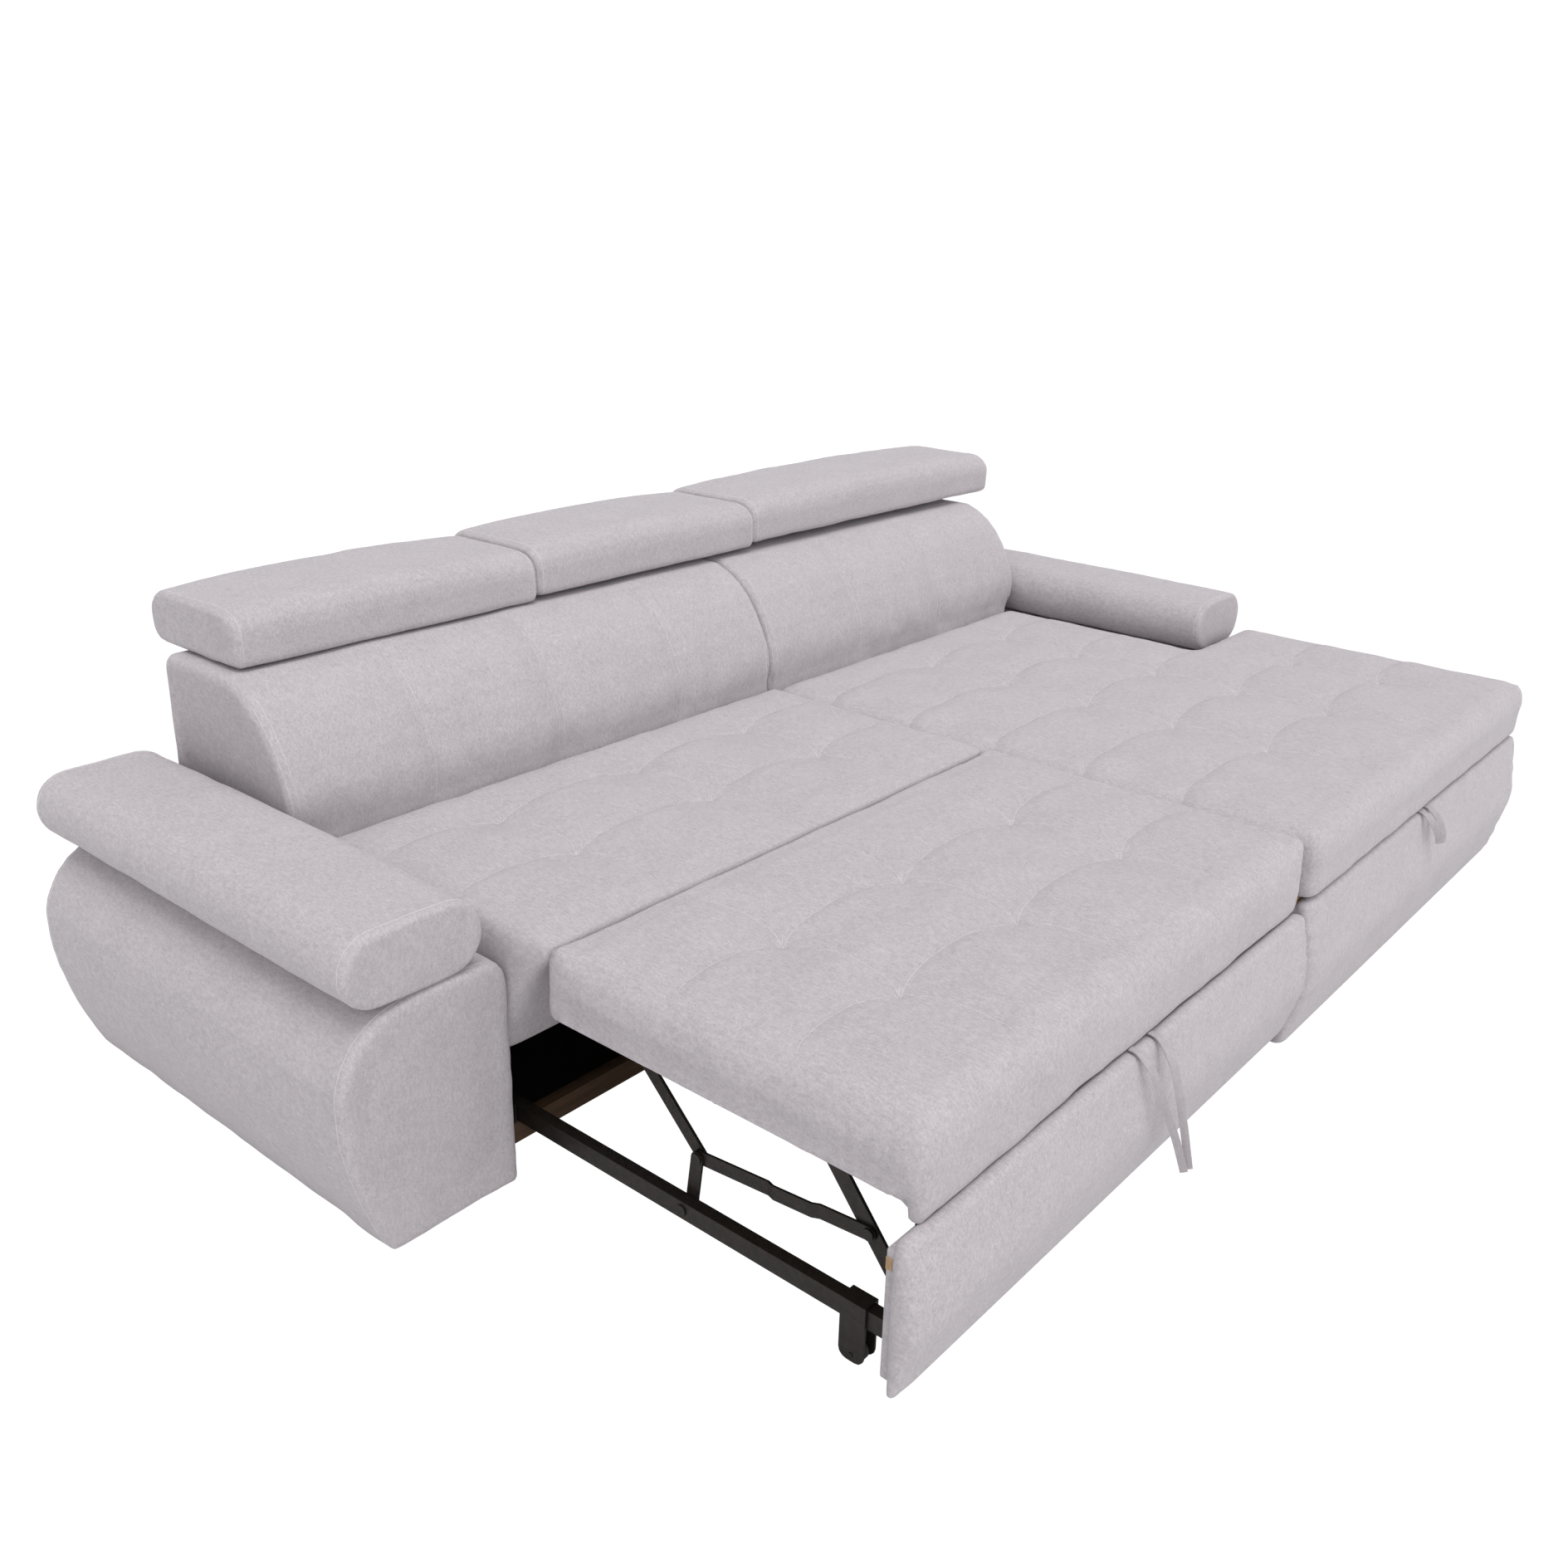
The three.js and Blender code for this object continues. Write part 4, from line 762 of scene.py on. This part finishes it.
def stitched_ends(piece, name, node, low, high, depth, counts):
    """Grooves around both ends of an arm or its pad, and a stitched line beside each."""
    points, _ = read_surface(piece)
    middle = (low + high) / 2
    center = (middle[X], middle[Z])
    grooves = [outline_at(points, y, center, counts[0]) for y in (low[Y] + 5, high[Y] - 5)]
    pull_seams(piece, [groove(loop, depth) for loop in grooves])
    finish_soft(piece, node)
    stitches = [outline_at(points, y, center, counts[1]) for y in (low[Y] + 14, high[Y] - 14)]
    thread(name + "_thread", piece, node, stitches, 0.8)


def build_arm_pad(side, seed, rise):
    """The rolled pad on an arm, its top raised by so much."""
    node, name = f"{side}_arm_pad", f"{side}_arm_roll"
    pad = evened(node, name, CRISP, 2)
    soften_all(pad, seed)
    low, high = [to_mm(corner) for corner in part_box(node)]
    points, _ = read_surface(pad)
    points[:, Z] += rise * fade(points[:, Z], low[Z], high[Z] - low[Z])
    write_points(pad, points)
    stitched_ends(pad, name, node, low, high + (0, 0, rise), depth=1.8, counts=(48, 90))


def build_arm_body(side, seed):
    node, name = f"{side}_arm_body", f"{side}_arm_side"
    body = evened(node, name, FINE, 2)
    soften_all(body, seed, long=0.9)
    low, high = [to_mm(corner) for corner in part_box(node)]
    stitched_ends(body, name, node, low, high, depth=1.6, counts=(64, 120))


build_arm_pad("left", seed=83, rise=0)
build_arm_body("left", seed=86)
build_arm_pad("right", seed=97, rise=9)
build_arm_body("right", seed=100)

# Front panels of the bed and the chaise


def build_panel(node, name, seed, seam_x, drop):
    """A padded panel with one curved seam. Its top edge is lowered by the drop, more near the left arm."""
    piece = evened(node, name, FINE, 3)
    points, normals = read_surface(piece)
    x, _, z = points.T
    low, high = points.min(0), points.max(0)
    front = fade(-normals[:, Y], 0.1, 0.4)
    # The cloth is stretched over the ends, which leaves shallow folds near them.
    ends = bell(x - low[X], 90) + bell(x - high[X], 90)
    folds = ripple(points * (0.6, 0.2, 1.5), seed + 2, 46, 1.2) * ends
    inner = fade(z - low[Z], 10, 60) * np.clip((high[Z] - 6 - z) / 40, 0, 1)
    push(points, normals, front * inner * folds)
    push(points, normals, inner * ripple(points, seed, 170, 0.9))
    z -= drop * np.interp(x, (60, 400), (2.2, 1)) * np.clip((z - high[Z] + 50) / 30, 0, 1)
    write_points(piece, points)

    height, middle, bow = high[Z] - low[Z], (low[Z] + high[Z]) / 2, 12
    line = []
    for row in np.linspace(low[Z] + 14, high[Z] - 8, 30):
        line.append((seam_x + bow * math.cos(math.pi * (row - middle) / height), -900, row))
    surface = surface_of(piece)
    hits = [surface.ray_cast(Vector(to_m(spot)), Vector(REARWARD), 0.5)[0] for spot in line]
    laid = [to_mm(hit) for hit in hits if hit is not None]
    pull_seams(piece, [Seam(laid, depth=1.6, valley=1.4, spread=16, width=4)])
    finish_soft(piece, node)
    thread(name + "_thread", piece, node, [line], 0.6, REARWARD)


build_panel("bed_front_panel", "bed_front_pad", seed=113, seam_x=-14, drop=5)
build_panel("chaise_front_panel", "chaise_front_pad", seed=127, seam_x=2366, drop=1.2)

# Cloth-covered boards: the CAD boards with a softened edge

EDGE_RADIUS = 0.0035


def covered_board(node):
    mesh = frame["nodes"][node].data.copy()
    piece = add_object(node + "_covered", mesh)
    build = bmesh.new()
    build.from_mesh(mesh)
    bmesh.ops.remove_doubles(build, verts=build.verts, dist=1e-5)
    sharp = [e for e in build.edges if len(e.link_faces) == 2 and e.calc_face_angle(0) > 0.5]
    bmesh.ops.bevel(build, geom=sharp, offset=EDGE_RADIUS, segments=3, profile=0.5, affect="EDGES")
    build.to_mesh(mesh)
    build.free()
    smooth_shading(mesh)
    paint(piece, FABRIC)
    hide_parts(node)
    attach(piece, body_of[node])


for board in ("back_panel", "chaise_divider", "chaise_side", "chaise_return", "bed_panel_board"):
    covered_board(board)

# Small flat pieces: the bare end of the panel board and two black sheets of painted shade


def plain_box(name, low, high, material, body):
    corners = [(x, y, z) for x in (low[X], high[X]) for y in (low[Y], high[Y]) for z in (low[Z], high[Z])]
    faces = [(0, 1, 3, 2), (4, 6, 7, 5), (0, 4, 5, 1), (2, 3, 7, 6), (0, 2, 6, 4), (1, 5, 7, 3)]
    mesh = bpy.data.meshes.new(name)
    mesh.from_pydata([tuple(to_m(corner)) for corner in corners], [], faces)
    piece = add_object(name, mesh)
    paint(piece, material)
    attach(piece, body)


board_low, board_high = [to_mm(corner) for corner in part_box("bed_panel_board")]
bare_low = (board_low[X] - 1.0, board_low[Y] + 6, 232)
bare_high = (board_low[X] + 0.3, board_high[Y] - 1, 250)
plain_box("bare_board_end", bare_low, bare_high, WOOD, body_of["bed_panel_board"])
# A black sheet behind the mattress's front lip: painted shade in the gap over the panel, where the floor
# would show.
plain_box("bed_edge_painted_shade", (30, -717, 263.5), (1150, -715.5, 326), SHADE_CLOTH, "bed_platform")
# A black sheet on the inner side of the left arm, in the bay under the seat: painted shade for the dark
# inside of the bay.
plain_box("bay_painted_shade_left", (0.4, 46, 14), (1.8, 838, 246), SHADE_CLOTH, body_of["left_arm_body"])

# Pull straps: a doubled tape whose legs meet at the tip and stand off the panel

# The tape's cross-section in half widths and half thicknesses, a little fuller in its middle
TAPE_SECTION = ((-1, -1), (0, -1.3), (1, -1), (1, 1), (0, 1.3), (-1, 1))


def smoothed(points, steps=40, rounds=8):
    """A list of points as a smooth path of even steps between them."""
    points = np.array(points, float)
    t = np.linspace(0, len(points) - 1, steps)
    path = np.stack([np.interp(t, range(len(points)), points[:, k]) for k in range(3)], 1)
    for _ in range(rounds):
        path[1:-1] = (path[:-2] + 2 * path[1:-1] + path[2:]) / 4
    return path


def tape(name, node, legs, width, thickness):
    build = bmesh.new()
    for leg in legs:
        path = smoothed(leg)
        rows = []
        for k, place in enumerate(path):
            way = path[min(k + 1, len(path) - 1)] - path[max(k - 1, 0)]
            way /= np.linalg.norm(way)
            # The tape is flat to the panel where it is fixed, and faces left from near its middle on.
            turn = min(1.0, 2.2 * k / len(path))
            flat = np.array((1.0 - 0.42 * turn, -0.8 * turn, 0))
            across = flat - way * (flat @ way)
            across /= np.linalg.norm(across)
            out = np.cross(way, across)
            rows.append([
                build.verts.new(to_m(place + across * a * width / 2 + out * b * thickness / 2))
                for a, b in TAPE_SECTION
            ])
        for first, second in zip(rows, rows[1:]):
            for k in range(len(TAPE_SECTION)):
                n = (k + 1) % len(TAPE_SECTION)
                build.faces.new((first[k], first[n], second[n], second[k]))
        build.faces.new(rows[0][::-1])
        build.faces.new(rows[-1])
    bmesh.ops.recalc_face_normals(build, faces=build.faces)
    mesh = bpy.data.meshes.new(name)
    build.to_mesh(mesh)
    build.free()
    piece = add_object(name, mesh)
    paint(piece, TAPE)
    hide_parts(node)
    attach(piece, body_of[node])


bed_legs = [
    [(532, -736, 304), (532, -752, 303), (534, -776, 280),
     (544, -795, 226), (564, -811, 165), (588, -820, 100)],
    [(592, -736, 304), (591, -754, 303), (582, -784, 276),
     (577, -803, 226), (584, -815, 165), (600, -822, 100)],
]
chaise_legs = [
    [(1742, -740, 310.6), (1742, -756, 308), (1744, -774, 292), (1750, -786, 268), (1760, -789, 246)],
    [(1778, -740, 310.6), (1777, -757, 308), (1774, -777, 290), (1770, -789, 266), (1766, -791, 246)],
]
tape("bed_pull", "bed_strap", bed_legs, width=12, thickness=1.8)
tape("chaise_pull", "chaise_strap", chaise_legs, width=14, thickness=1.6)

# Floor and backdrop: white to the camera, while the sofa is lit by a grey floor and a dimmer world

WHITE = (1, 1, 1, 1)
BACKDROP_GLOW = 1.05


def white_for_camera(tree, glow_type, lit, output_type):
    """Mixes a white glow, seen by the camera only, with the shader that lights the scene."""
    glow = tree.nodes.new(glow_type)
    set_inputs(glow, {"Color": WHITE, "Strength": BACKDROP_GLOW})
    path = tree.nodes.new("ShaderNodeLightPath")
    mix = tree.nodes.new("ShaderNodeMixShader")
    output = next(n for n in tree.nodes if n.type == output_type)
    tree.links.new(path.outputs["Is Camera Ray"], mix.inputs["Fac"])
    tree.links.new(lit.outputs[0], mix.inputs[1])
    tree.links.new(glow.outputs[0], mix.inputs[2])
    tree.links.new(mix.outputs["Shader"], output.inputs["Surface"])


def build_floor():
    """A wide floor, a little under the feet, so that no faces coincide."""
    reach, gap = 14, 0.0006
    mesh = bpy.data.meshes.new("floor")
    corners = [(-reach, -reach, 0), (reach, -reach, 0), (reach, reach, 0), (-reach, reach, 0)]
    mesh.from_pydata(corners, [], [(0, 1, 2, 3)])
    floor = add_object("floor", mesh)
    floor.location = (0, 0, -gap)
    material, tree, shader = new_material("white_floor")
    set_inputs(shader, {"Base Color": (0.8, 0.8, 0.8, 1), "Roughness": 0.9})
    white_for_camera(tree, "ShaderNodeEmission", shader, "OUTPUT_MATERIAL")
    paint(floor, material)


def build_world():
    world = bpy.data.worlds.new("studio")
    world.use_nodes = True
    background = next(n for n in world.node_tree.nodes if n.type == "BACKGROUND")
    set_inputs(background, {"Color": WHITE, "Strength": 0.67})
    white_for_camera(world.node_tree, "ShaderNodeBackground", background, "OUTPUT_WORLD")
    bpy.context.scene.world = world


build_floor()
build_world()

# Light


def sun_light(name, direction, power, spread):
    data = bpy.data.lights.new(name, "SUN")
    data.energy = power
    data.angle = math.radians(spread)
    light = add_object(name, data)
    light.rotation_euler = Vector(direction).to_track_quat("-Z", "Y").to_euler()


sun_light("key", (0.12, 0.24, -1.0), power=1.25, spread=34)
sun_light("fill", (0.38, 0.94, -0.26), power=0.76, spread=60)

# Camera at the photograph's view

EYE = np.array([-1207.9, -1521.4, 1433.9])
YAW, PITCH, ROLL = math.radians(39.787), math.radians(21.706), math.radians(1.449)
FOCAL_PIXELS, PHOTO_PIXELS = 1772.3, 1889
SENSOR = 36


def build_camera():
    forward = Vector((math.cos(YAW) * math.cos(PITCH), math.sin(YAW) * math.cos(PITCH), -math.sin(PITCH)))
    right = Vector((math.sin(YAW), -math.cos(YAW), 0))
    up = right.cross(forward)
    right_rolled = right * math.cos(ROLL) + up * math.sin(ROLL)
    up_rolled = up * math.cos(ROLL) - right * math.sin(ROLL)
    data = bpy.data.cameras.new("camera")
    data.sensor_width = SENSOR
    data.lens = SENSOR * FOCAL_PIXELS / PHOTO_PIXELS
    camera = add_object("camera", data)
    turn = Matrix((right_rolled, up_rolled, -forward)).transposed().to_4x4()
    camera.matrix_world = Matrix.Translation(Vector(to_m(EYE))) @ turn
    bpy.context.scene.camera = camera


build_camera()
bpy.context.scene.view_settings.view_transform = "Standard"
